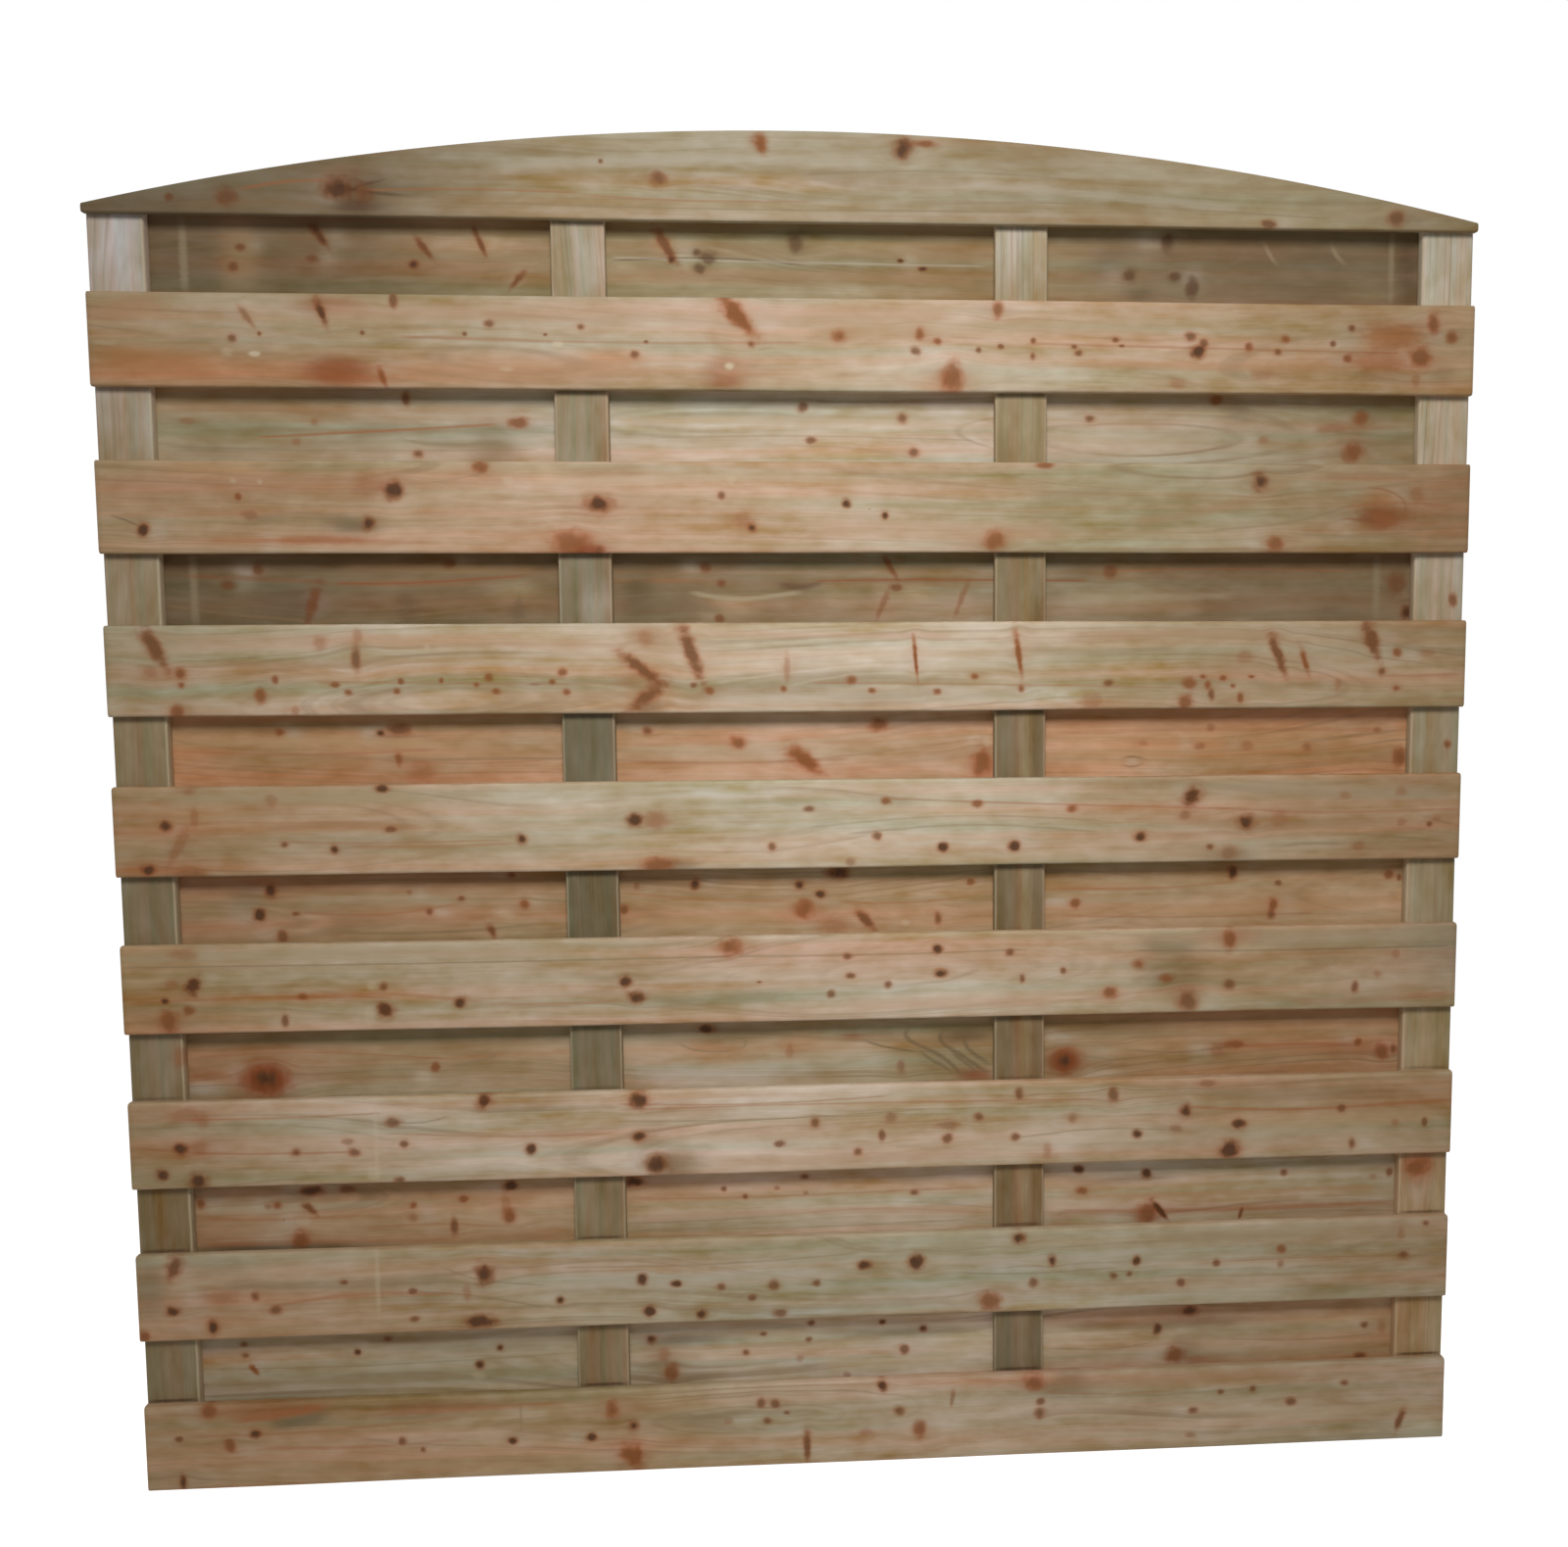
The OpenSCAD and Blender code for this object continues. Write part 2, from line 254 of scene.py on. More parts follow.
# On a back board z is above the upper edge of the front board under the gap, and both x and z
# are where the knot shows in the plane of the front boards' faces
BEHIND = {
    "back_board_8": [
        (193, 55, 6, 5, BROWN), (184, 30, 6, 6, BROWN), (283, 82, 300, 58, 4, DARK), (412, 68, 430, 45, 3, BROWN),
        (485, 80, 497, 50, 3, BROWN), (545, 28, 528, 8, 3, BROWN), (282, 42, 8, 5, BROWN), (407, 36, 6, 5, DARK),
        (712, 85, 737, 45, 5, BROWN), (733, 46, 6, 5, DARK),
        (765, 55, 6, 5, DUSK), (768, 35, 8, 7, DUSK), (780, 48, 10, 8, DUSK), (893, 68, 11, 14, DUSK),
        (1028, 48, 5, 3, DARK), (1057, 38, 6, 3, DARK), (1330, 32, 10, 8, DUSK), (1380, 75, 8, 12, DUSK),
        (1390, 32, 9, 7, DUSK), (1413, 18, 9, 14, DUSK),
    ],
    "back_board_7": [
        (533, 48, 14, 7, RED), (276, 48, 4, 4, STAIN), (253, 23, 5, 4, STAIN), (405, 8, 6, 5, BROWN),
        (120, 48, 10, 4, STAIN), (392, 78, 5, 9, BROWN), (899, 70, 7, 7, BROWN), (1030, 56, 7, 7, BROWN),
        (910, 27, 7, 5, BROWN), (1045, 13, 8, 6, BROWN), (1278, 57, 6, 5, BROWN), (1448, 83, 8, 6, RED),
        (1512, 30, 6, 5, STAIN), (1645, 60, 11, 9, RED), (1636, 15, 15, 13, RED), (1605, 45, 18, 6, STAIN),
    ],
    "back_board_6": [
        (198, 70, 6, 7, BROWN), (160, 50, 8, 6, BROWN),
        (272, 45, 258, 5, 5, BROWN), (440, 78, 7, 6, BROWN), (770, 72, 7, 6, BROWN),
        (790, 51, 5, 5, BROWN), (787, 5, 6, 5, BROWN), (1005, 85, 1020, 60, 3, BROWN), (1020, 45, 8, 5, BROWN),
        (1010, 40, 995, 5, 3, FAINT), (1115, 50, 1100, 10, 3, FAINT), (1308, 65, 8, 8, BROWN),
        (1700, 50, 14, 14, BROWN), (1715, 10, 8, 10, DARK),
    ],
    "back_board_5": [
        (217, 69, 6, 5, RED), (345, 67, 6, 4, DARK), (370, 72, 14, 8, BROWN), (367, 33, 5, 8, RED),
        (395, 15, 18, 14, STAIN), (690, 67, 6, 5, BROWN),
        (808, 51, 11, 8, RED), (880, 40, 914, 14, 8, RED), (995, 73, 12, 8, RED), (1135, 20, 14, 18, RED),
        (1142, 49, 5, 6, PALE), (1447, 65, 6, 5, FAINT), (1432, 40, 7, 5, FAINT), (1355, 45, 6, 4, STAIN),
        (1498, 40, 7, 6, STAIN), (1580, 38, 6, 7, FAINT), (1678, 60, 6, 4, FAINT), (1710, 22, 9, 13, RED),
    ],
    "back_board_4": [
        (197, 70, 7, 9, DARK), (182, 40, 8, 9, DARK), (210, 10, 7, 8, BROWN), (228, 40, 6, 3, BROWN),
        (400, 40, 5, 5, BROWN), (442, 57, 5, 4, BROWN), (375, 66, 4, 3, FAINT), (508, 88, 6, 4, BROWN),
        (524, 48, 6, 6, RED), (478, 18, 484, 5, 4, BROWN), (655, 38, 6, 6, BROWN), (749, 71, 7, 7, DARK),
        (672, 70, 4, 5, FAINT), (889, 68, 7, 7, DARK), (917, 55, 7, 6, DARK), (940, 84, 15, 9, DARK),
        (895, 35, 12, 13, RED), (935, 12, 20, 10, STAIN), (966, 32, 986, 8, 5, BROWN), (1075, 20, 5, 9, BROWN),
        (1031, 14, 5, 4, PALE), (1119, 69, 6, 5, RED), (1262, 37, 7, 7, RED), (1480, 76, 7, 9, DARK),
        (1544, 60, 5, 4, BROWN), (1537, 31, 6, 8, RED), (1535, 17, 6, 7, BROWN), (1700, 70, 7, 7, RED),
        (1714, 66, 4, 5, BROWN),
    ],
    "back_board_3": [
        (181, 26, 29, 21, RED), (181, 29, 15, 13, DARK), (401, 40, 6, 6, RED), (762, 83, 12, 6, DARK), (873, 50, 5, 9, STAIN),
        (1024, 25, 5, 10, FAINT), (1250, 27, 20, 17, RED), (1250, 27, 11, 10, DARK), (1485, 45, 14, 5, RED), (1462, 38, 8, 11, STAIN),
        (1661, 44, 5, 5, RED), (1695, 30, 10, 12, RED), (1712, 33, 5, 8, BROWN), (1130, 5, 18, 7, STAIN),
        (110, 35, 22, 5, STAIN),
    ],
    "back_board_2": [
        (89, 70, 6, 6, RED), (188, 65, 6, 5, RED), (176, 64, 5, 4, FAINT), (233, 84, 14, 6, DARK),
        (280, 85, 10, 5, BROWN), (222, 65, 238, 52, 4, BROWN), (222, 42, 9, 6, PALE), (217, 17, 10, 13, RED),
        (366, 60, 5, 4, RED), (365, 43, 6, 6, FAINT), (433, 66, 6, 5, RED), (419, 28, 5, 13, BROWN),
        (495, 83, 11, 8, DARK), (488, 58, 6, 14, STAIN), (493, 40, 8, 10, RED), (781, 70, 4, 4, BROWN),
        (660, 84, 13, 8, DARK), (810, 58, 4, 4, BROWN), (853, 69, 4, 3, FAINT), (893, 61, 4, 3, FAINT),
        (1042, 57, 6, 4, BROWN), (891, 84, 6, 4, BROWN), (1269, 83, 8, 7, DARK), (1274, 52, 7, 6, RED),
        (1365, 74, 7, 8, DARK), (1366, 18, 13, 16, RED), (1374, 34, 1394, 8, 3, DARK), (1560, 70, 5, 5, BROWN),
        (1687, 60, 5, 4, STAIN), (1711, 66, 5, 6, BROWN), (1501, 20, 1497, 5, 2, BROWN),
    ],
    "back_board_1": [
        (136, 84, 5, 4, BROWN), (137, 68, 5, 4, BROWN), (145, 52, 152, 42, 3, RED), (326, 84, 6, 4, BROWN),
        (285, 67, 5, 5, DARK), (475, 66, 5, 5, DARK), (447, 42, 6, 7, DARK), (445, 27, 8, 7, PALE),
        (679, 70, 7, 6, DARK), (696, 47, 8, 9, STAIN), (705, 22, 11, 13, RED), (808, 46, 5, 5, BROWN),
        (832, 72, 5, 3, BROWN), (894, 62, 5, 4, BROWN), (898, 85, 5, 4, BROWN), (996, 83, 6, 4, DARK),
        (1053, 72, 6, 5, DARK), (1026, 43, 7, 7, BROWN), (947, 8, 5, 5, FAINT), (882, 35, 5, 5, STAIN),
        (1383, 58, 6, 8, DARK), (1428, 84, 12, 7, DARK), (1396, 47, 11, 7, PALE), (1408, 20, 13, 11, RED),
        (1440, 12, 14, 5, STAIN), (1680, 53, 6, 5, BROWN), (1705, 50, 6, 8, STAIN), (1675, 8, 8, 5, BROWN),
    ],
}

# On an upright x is from the screen's left end and z is the height above the ground
UPRIGHT_KNOTS = {
    "upright_left": [(66, 596, 9, 12, STAIN)],
    "upright_mid_left": [],
    "upright_mid_right": [],
    "upright_right": [(1785, 1197, 6, 9, RED), (1783, 998, 5, 5, RED), (1757, 398, 17, 12, RED)],
}

# Painted highlights where the uprights' eased edges catch the light, as (x, strength), and the painted
# shadow line where an upright meets the upper edge of a low front board, as (z, strength)
EDGE_HIGHLIGHTS = {
    "upright_left": [(68.4, 0.5)],
    "upright_mid_left": [(578.3, 0.4), (645.1, 0.35)],
    "upright_mid_right": [(1155.0, 0.35), (1221.8, 0.4)],
    "upright_right": [(1731.6, 0.45)],
}
# Painted shadow lines on the uprights, in the corner just above the upper edges of the lowest front boards
CONTACT_SHADOWS = [(121, 0.75), (331, 0.6), (541, 0.35)]

# Soft patches of another tone: (x, z, half length, half height, tone, strength), placed as knots are. On the back
# boards a few dark ones at the top of a gap are painted shadow instead.
PATCHES = {
    "front_board_8": [
        (110, 24, 190, 26, "orange", 0.65), (306, 22, 38, 17, "russet", 0.9), (300, 104, 46, 12, "rust", 0.7),
        (520, 20, 200, 24, "orange", 0.35), (1686, 78, 40, 17, "orange", 0.95), (1680, 46, 44, 22, "amber", 0.85),
        (800, 22, 28, 22, "russet", 0.7), (1000, 16, 260, 16, "fawn", 0.5), (947, 92, 12, 20, "cream", 0.5),
        (1090, 14, 26, 18, "rust", 0.6), (652, 44, 42, 11, "amber", 0.9), (1752, 28, 22, 12, "umber", 0.3),
        (1705, 37, 8, 16, "pink", 0.5), (1718, 17, 6, 9, "amber", 0.6),
        (1552, 89, 60, 11, "cream", 0.6), (442, 108, 26, 7, "blush", 0.6), (812, 32, 32, 24, "amber", 0.45),
        (332, 9, 46, 9, "rust", 0.5), (1660, 15, 62, 14, "sage", 0.6),
        (1672, 93, 34, 10, "sand", 0.5), (440, 109, 30, 7, "blush", 0.6), (1068, 8, 32, 9, "amber", 0.5),
    ],
    "front_board_7": [
        (100, 60, 180, 60, "rust", 0.12), (320, 34, 22, 5, "bark", 0.4), (483, 70, 22, 40, "sand", 0.5),
        (1320, 60, 130, 60, "olive", 0.7), (1676, 47, 27, 15, "russet", 0.65), (1762, 74, 36, 36, "rust", 0.3),
        (634, 64, 34, 20, "rust", 0.3), (300, 17, 70, 8, "rust", 0.25), (850, 70, 180, 40, "cream", 0.3),
        (530, 106, 90, 14, "tan", 0.8), (150, 107, 110, 10, "orange", 0.65), (384, 107, 100, 10, "amber", 0.7),
        (616, 6, 26, 9, "russet", 0.9), (316, 36, 44, 12, "umber", 0.8), (664, 106, 50, 8, "tan", 0.8),
        (1678, 76, 26, 11, "orange", 0.65), (1640, 102, 70, 5, "rust", 0.4), (1735, 15, 7, 14, "amber", 0.5),
        (1282, 46, 50, 16, "cream", 0.6), (474, 102, 34, 13, "rust", 0.3), (1662, 12, 70, 12, "olive", 0.7),
        (1128, 12, 40, 12, "rust", 0.3), (1498, 98, 46, 16, "tan", 0.5), (562, 104, 34, 12, "honey", 0.5),
    ],
    "front_board_6": [
        (52, 115, 8, 6, "silver", 0.6), (678, 46, 34, 9, "rust", 0.6), (690, 40, 30, 30, "amber", 0.6), (688, 104, 26, 14, "tan", 0.7),
        (1765, 44, 32, 5, "rust", 0.3), (1560, 60, 150, 60, "tan", 0.3), (480, 52, 155, 28, "pearl", 0.8), (1235, 18, 55, 14, "chalk", 0.75),
        (1480, 30, 90, 22, "rust", 0.16),
        (1718, 97, 44, 12, "tan", 0.6), (925, 109, 85, 8, "chalk", 0.6), (200, 62, 64, 16, "sage", 0.7),
        (692, 8, 20, 8, "umber", 0.7),
        (500, 50, 100, 18, "cream", 0.7), (1350, 55, 60, 17, "cream", 0.7),
    ],
    "front_board_5": [
        (285, 68, 75, 6, "tan", 0.9), (280, 48, 120, 10, "khaki", 0.5), (1750, 60, 60, 60, "tan", 0.5), (1700, 10, 120, 16, "rust", 0.2),
        (60, 14, 90, 20, "rust", 0.25), (700, 68, 18, 14, "rust", 0.3), (545, 90, 120, 24, "cream", 0.4),
        (1480, 110, 300, 10, "olive", 0.5),
        (808, 107, 72, 9, "chalk", 0.85), (724, 7, 30, 9, "umber", 0.75), (1470, 9, 44, 11, "umber", 0.7),
        (1664, 70, 130, 12, "sage", 0.9),
        (1412, 25, 70, 22, "tan", 0.55), (285, 27, 50, 15, "tan", 0.6), (1364, 109, 38, 8, "sage", 0.5),
        (112, 88, 62, 18, "honey", 0.6), (1096, 82, 52, 11, "honey", 0.5), (1362, 108, 38, 7, "khaki", 0.6),
    ],
    "front_board_4": [
        (1400, 62, 44, 34, "umber", 0.6), (1395, 92, 34, 24, "pewter", 0.7), (1415, 22, 20, 16, "russet", 0.3), (1750, 15, 45, 13, "amber", 0.5),
        (60, 12, 60, 20, "rust", 0.2), (950, 80, 260, 30, "pink", 0.4), (1600, 85, 220, 30, "olive", 0.4),
        (1784, 82, 60, 44, "coffee", 0.4), (600, 104, 78, 15, "pearl", 0.8), (1484, 108, 50, 10, "russet", 0.3),
        (344, 60, 45, 32, "blush", 0.6), (148, 53, 130, 12, "sage", 0.8),
        (50, 40, 50, 24, "fawn", 0.5), (818, 31, 75, 12, "pearl", 0.6), (1258, 16, 40, 17, "cream", 0.7),
        (1760, 100, 34, 20, "pewter", 0.5), (90, 42, 100, 20, "sand", 0.4), (1730, 57, 52, 14, "tan", 0.4),
    ],
    "front_board_3": [
        (75, 60, 90, 30, "rust", 0.12), (1650, 95, 150, 18, "rust", 0.16), (760, 60, 200, 18, "amber", 0.35),
        (1520, 106, 90, 9, "rust", 0.2), (1680, 88, 110, 8, "moss", 0.25),
        (713, 16, 40, 20, "umber", 0.9), (676, 54, 16, 11, "umber", 0.5), (536, 100, 100, 18, "pearl", 0.5),
        (736, 90, 62, 9, "tan", 0.85),
        (550, 92, 44, 22, "pearl", 0.6), (335, 43, 80, 13, "fawn", 0.7), (1470, 108, 100, 9, "rust", 0.3),
        (508, 104, 66, 12, "khaki", 0.6), (680, 52, 22, 10, "tan", 0.5),
    ],
    "front_board_2": [
        (17, 80, 20, 42, "moss", 0.5), (230, 56, 90, 9, "amber", 0.4), (700, 75, 260, 25, "silver", 0.4),
        (1500, 60, 400, 60, "khaki", 0.45), (110, 50, 70, 30, "rust", 0.14), (1000, 30, 300, 25, "silver", 0.3),
        (1262, 10, 100, 10, "chalk", 0.7), (385, 50, 60, 24, "mist", 0.7), (560, 107, 120, 8, "silver", 0.75),
        (1200, 65, 110, 11, "silver", 0.75),
        (850, 12, 66, 11, "silver", 0.65), (1630, 18, 56, 14, "khaki", 0.8),
        (852, 48, 54, 17, "pearl", 0.55), (1232, 42, 44, 18, "pearl", 0.55),
        (115, 102, 55, 16, "lichen", 0.6),
        (396, 76, 30, 12, "oat", 0.6), (378, 45, 36, 14, "oat", 0.6), (1632, 17, 50, 12, "olive", 0.6),
    ],
    "front_board_1": [
        (170, 110, 80, 10, "rust", 0.85), (205, 92, 44, 11, "moss", 0.4), (410, 106, 130, 8, "rust", 0.75), (300, 62, 170, 9, "pink", 0.5),
        (365, 92, 80, 5, "bark", 0.25), (1260, 107, 20, 12, "coffee", 0.5), (640, 40, 60, 50, "rust", 0.16),
        (285, 50, 120, 6, "pink", 0.4), (1150, 60, 160, 40, "cream", 0.35),
        (1770, 18, 26, 18, "bone", 0.8), (870, 54, 125, 26, "pearl", 0.75), (520, 98, 90, 20, "cream", 0.45),
        (870, 22, 110, 18, "cream", 0.5),
        (1690, 36, 70, 18, "sage", 0.7), (1245, 94, 55, 17, "umber", 0.55),
        (252, 98, 46, 14, "sand", 0.4), (580, 110, 60, 6, "olive", 0.6), (1770, 100, 22, 16, "sand", 0.4),
    ],
    "arched_board": [
        (90, 12, 110, 22, "coffee", 0.65), (326, 50, 34, 14, "russet", 0.35), (350, 30, 38, 26, "coffee", 0.75),
        (900, 75, 330, 26, "khaki", 0.5), (1200, 60, 260, 20, "khaki", 0.4), (700, 20, 300, 8, "sand", 0.4),
        (1032, 93, 17, 17, "pewter", 0.4),
        (338, 10, 40, 12, "coffee", 0.9), (1712, 14, 20, 8, "lichen", 0.5), (840, 47, 115, 15, "silver", 0.75),
        (640, 40, 115, 14, "pearl", 0.65),
        (338, 12, 28, 9, "bark", 0.6), (578, 38, 36, 10, "khaki", 0.6), (876, 46, 80, 10, "silver", 0.5),
    ],
}
BEHIND_PATCHES_AND_SHADOWS = {
    "back_board_8": [
        (100, 50, 110, 60, "bark", 0.2), (189, 50, 24, 60, "tan", 0.6), (1704, 50, 14, 60, "bark", 0.5),
        (480, 60, 90, 60, "tan", 0.4), (1345, 8, 22, 10, "coffee", 0.9), (900, 44, 250, 5, "khaki", 0.4),
        (1080, 60, 90, 40, "tan", 0.3), (720, 66, 14, 18, "amber", 0.4),
        (500, 61, 66, 13, "cream", 0.65), (980, 6, 150, 8, "cream", 0.45), (1330, 62, 50, 8, "coffee", 0.5),
        (1580, 55, 45, 16, "coffee", 0.5), (1300, 45, 28, 20, "coffee", 0.55),
        (130, 20, 42, 14, "coffee", 0.35), (780, 44, 70, 16, "bronze", 0.6), (975, 66, 75, 9, "sage", 0.6),
        (1395, 35, 52, 40, "coffee", 0.3), (1650, 13, 42, 12, "olive", 0.6),
    ],
    "back_board_7": [
        (350, 36, 170, 3, "rust", 0.5), (850, 45, 240, 9, "chalk", 0.75), (440, 20, 22, 10, "moss", 0.25),
        (1480, 65, 16, 12, "moss", 0.5), (1700, 50, 60, 60, "umber", 0.25), (1640, 35, 30, 30, "rust", 0.2),
        (1300, 30, 120, 25, "cream", 0.3),
        (500, 14, 36, 22, "lichen", 0.95), (490, 42, 45, 10, "lichen", 0.5), (1664, 16, 28, 20, "khaki", 0.7),
        (262, 66, 70, 10, "khaki", 0.7), (140, 8, 56, 10, "pewter", 0.7), (950, 20, 80, 24, "bone", 0.4),
        (1652, 66, 44, 8, "lichen", 0.6),
    ],
    "back_board_6": [
        (405, 52, 120, 4, "rust", 0.4), (385, 20, 15, 22, "bark", 0.35), (527, 15, 12, 22, "bark", 0.35),
        (450, 70, 55, 6, "olive", 0.4), (710, 55, 65, 3, "rust", 0.4), (705, 20, 60, 20, "moss", 0.5),
        (820, 30, 60, 8, "khaki", 0.3), (885, 48, 26, 8, "bark", 0.3), (1025, 54, 115, 2, "bark", 0.4),
        (1245, 54, 26, 2, "bark", 0.4), (1080, 70, 80, 30, "umber", 0.5), (1330, 30, 90, 20, "olive", 0.5),
        (1500, 75, 200, 20, "rust", 0.12),
        (240, 26, 46, 24, "moss", 0.5), (240, 26, 46, 24, "bark", 0.4), (524, 42, 34, 15, "sage", 0.5),
        (682, 38, 22, 32, "coffee", 0.9),
        (946, 32, 30, 16, "khaki", 0.4), (1265, 62, 28, 8, "coffee", 0.4), (1408, 15, 25, 11, "khaki", 0.3),
        # Painted shadow: the coffee patch at x 1460, z 66 lengthens the shadow under the front board above
        (1460, 66, 95, 8, "coffee", 0.4), (1610, 12, 28, 10, "coffee", 0.5),
        (1042, 37, 26, 12, "sage", 0.6), (800, 20, 40, 15, "sage", 0.5),
    ],
    "back_board_5": [
        (365, 62, 40, 3, "bark", 0.4), (1135, 25, 20, 25, "rust", 0.3),
        (1000, 55, 120, 30, "cream", 0.3), (360, 14, 42, 14, "blush", 0.55),
        (205, 40, 66, 14, "fawn", 0.8), (435, 18, 32, 14, "blush", 0.5), (920, 26, 24, 15, "blush", 0.6),
        (1080, 8, 55, 9, "blush", 0.6), (1450, 8, 105, 11, "blush", 0.7),
        (1008, 67, 32, 7, "tan", 0.5), (1404, 12, 54, 12, "cream", 0.5), (1370, 66, 70, 8, "amber", 0.5),
        (224, 28, 90, 26, "sand", 0.5), (540, 58, 40, 12, "blush", 0.5), (1078, 10, 60, 12, "blush", 0.6),
        (1400, 68, 80, 8, "tan", 0.6), (1640, 66, 50, 8, "tan", 0.6),
    ],
    "back_board_4": [
        (182, 84, 26, 8, "rust", 0.5), (495, 30, 16, 14, "cream", 0.7), (895, 35, 22, 16, "rust", 0.3),
        (1300, 57, 70, 5, "rust", 0.4), (1235, 40, 18, 6, "silver", 0.5), (978, 30, 30, 26, "blush", 0.6), (1105, 36, 36, 24, "blush", 0.5),
        (550, 18, 60, 12, "khaki", 0.5), (330, 15, 120, 10, "olive", 0.4),
        (510, 22, 52, 16, "sage", 0.5), (1320, 15, 54, 16, "blush", 0.6),
        (1600, 62, 70, 10, "amber", 0.5),
        (168, 64, 24, 12, "umber", 0.7), (748, 42, 60, 22, "fawn", 0.6), (1062, 53, 64, 16, "blush", 0.7),
        (916, 68, 50, 6, "tan", 0.6),
    ],
    # Painted shadow: the dark patches at x 1116, 760, 1320, 998, 1104 and 1330, at z 64 to 68, lengthen the shadow
    # under the front board above
    "back_board_3": [
        (181, 28, 33, 24, "russet", 1.0), (100, 15, 26, 11, "silver", 0.6), (385, 25, 14, 10, "cream", 0.6),
        (755, 58, 26, 15, "amber", 0.5), (890, 70, 26, 9, "amber", 0.6), (780, 20, 130, 20, "silver", 0.6),
        (1250, 27, 25, 20, "russet", 0.9), (1300, 20, 40, 5, "rust", 0.4), (1575, 41, 90, 4, "rust", 0.5),
        (1590, 8, 60, 6, "rust", 0.4), (1240, 60, 25, 10, "silver", 0.5), (1660, 35, 60, 14, "rust", 0.25),
        (330, 10, 120, 10, "sage", 0.6), (1125, 12, 28, 9, "russet", 0.8), (1116, 66, 40, 9, "coffee", 0.8),
        (975, 35, 40, 20, "pearl", 0.6), (960, 68, 16, 5, "russet", 0.8), (1090, 40, 50, 30, "umber", 0.35),
        (782, 40, 32, 13, "amber", 0.55), (760, 68, 100, 8, "umber", 0.55),
        (1320, 68, 85, 8, "coffee", 0.35), (1300, 4, 42, 9, "cream", 0.6), (242, 9, 30, 11, "cream", 0.6),
        (470, 14, 60, 16, "cream", 0.5),
        (228, 44, 34, 14, "tan", 0.6), (118, 20, 24, 20, "sand", 0.4), (998, 68, 50, 7, "umber", 0.7),
        (784, 38, 36, 14, "sand", 0.6), (1104, 64, 28, 10, "peat", 0.6), (1330, 66, 100, 9, "umber", 0.4),
    ],
    # Painted shadow: the patches at x 1320, 1360 and 1080, at z 66 to 68, lengthen the shadow under the front board
    # above
    "back_board_2": [
        (545, 15, 34, 12, "amber", 0.6), (125, 12, 40, 4, "rust", 0.5), (770, 60, 120, 7, "amber", 0.5),
        (900, 46, 240, 12, "cream", 0.5), (1480, 20, 250, 9, "rust", 0.35), (1470, 50, 120, 11, "cream", 0.7),
        (1245, 10, 20, 10, "rust", 0.3),
        (200, 5, 120, 8, "coffee", 0.95), (720, 20, 70, 16, "blush", 0.75), (1085, 40, 44, 10, "silver", 0.6),
        (1320, 66, 70, 6, "umber", 0.5), (1368, 8, 26, 6, "russet", 0.5),
        (1000, 18, 60, 12, "fawn", 0.4), (1360, 68, 55, 6, "coffee", 0.45),
        (134, 5, 44, 6, "bark", 0.5), (516, 12, 30, 12, "tan", 0.5), (1080, 66, 50, 8, "sand", 0.6),
        (990, 17, 90, 12, "fawn", 0.5), (1610, 12, 80, 12, "tan", 0.4),
    ],
    # Painted shadow: the dark patches at x 1056, 1370, 740, 1020, 1450, 1290, 440 and 718, at z 64 to 69, lengthen the
    # shadow under the front board above
    "back_board_1": [
        (740, 14, 24, 10, "umber", 0.4), (990, 34, 130, 30, "silver", 0.6), (1500, 40, 120, 30, "olive", 0.4),
        (300, 35, 230, 40, "khaki", 0.5), (690, 45, 26, 40, "umber", 0.3),
        (420, 6, 150, 10, "ivory", 0.75), (1056, 67, 70, 5, "umber", 0.5), (930, 30, 75, 20, "pearl", 0.5),
        (1370, 64, 135, 6, "umber", 0.5),
        (740, 68, 75, 8, "coffee", 0.45), (1020, 69, 115, 8, "coffee", 0.5),
        (1450, 68, 80, 8, "coffee", 0.5), (1290, 68, 60, 7, "coffee", 0.4), (1600, 8, 90, 10, "honey", 0.5),
        (440, 66, 125, 9, "umber", 0.45), (718, 67, 50, 7, "bark", 0.4), (960, 26, 66, 18, "chalk", 0.5),
        (1418, 24, 24, 20, "umber", 0.5),
    ],
}
UPRIGHT_PATCHES = {
    "upright_left": [(38, 365, 60, 45, "umber", 0.5), (38, 800, 60, 180, "moss", 0.35), (38, 1640, 60, 60, "silver", 0.4),
                     (70, 596, 14, 16, "rust", 0.3), (38, 370, 60, 46, "stone", 0.45)],
    "upright_mid_left": [(612, 1640, 60, 60, "silver", 0.3), (625, 1190, 22, 30, "silver", 0.4), (612, 840, 60, 160, "moss", 0.3)],
    "upright_mid_right": [(1187, 1000, 60, 500, "moss", 0.25), (1196, 800, 9, 900, "sand", 0.5), (1187, 150, 60, 60, "moss", 0.3),
                          (1187, 1700, 60, 60, "chalk", 0.5)],
    "upright_right": [(1757, 400, 34, 34, "rust", 0.6), (1762, 900, 60, 200, "olive", 0.4),
                      (1765, 1700, 60, 70, "chalk", 0.45), (1762, 1240, 60, 60, "pearl", 0.5)],
}

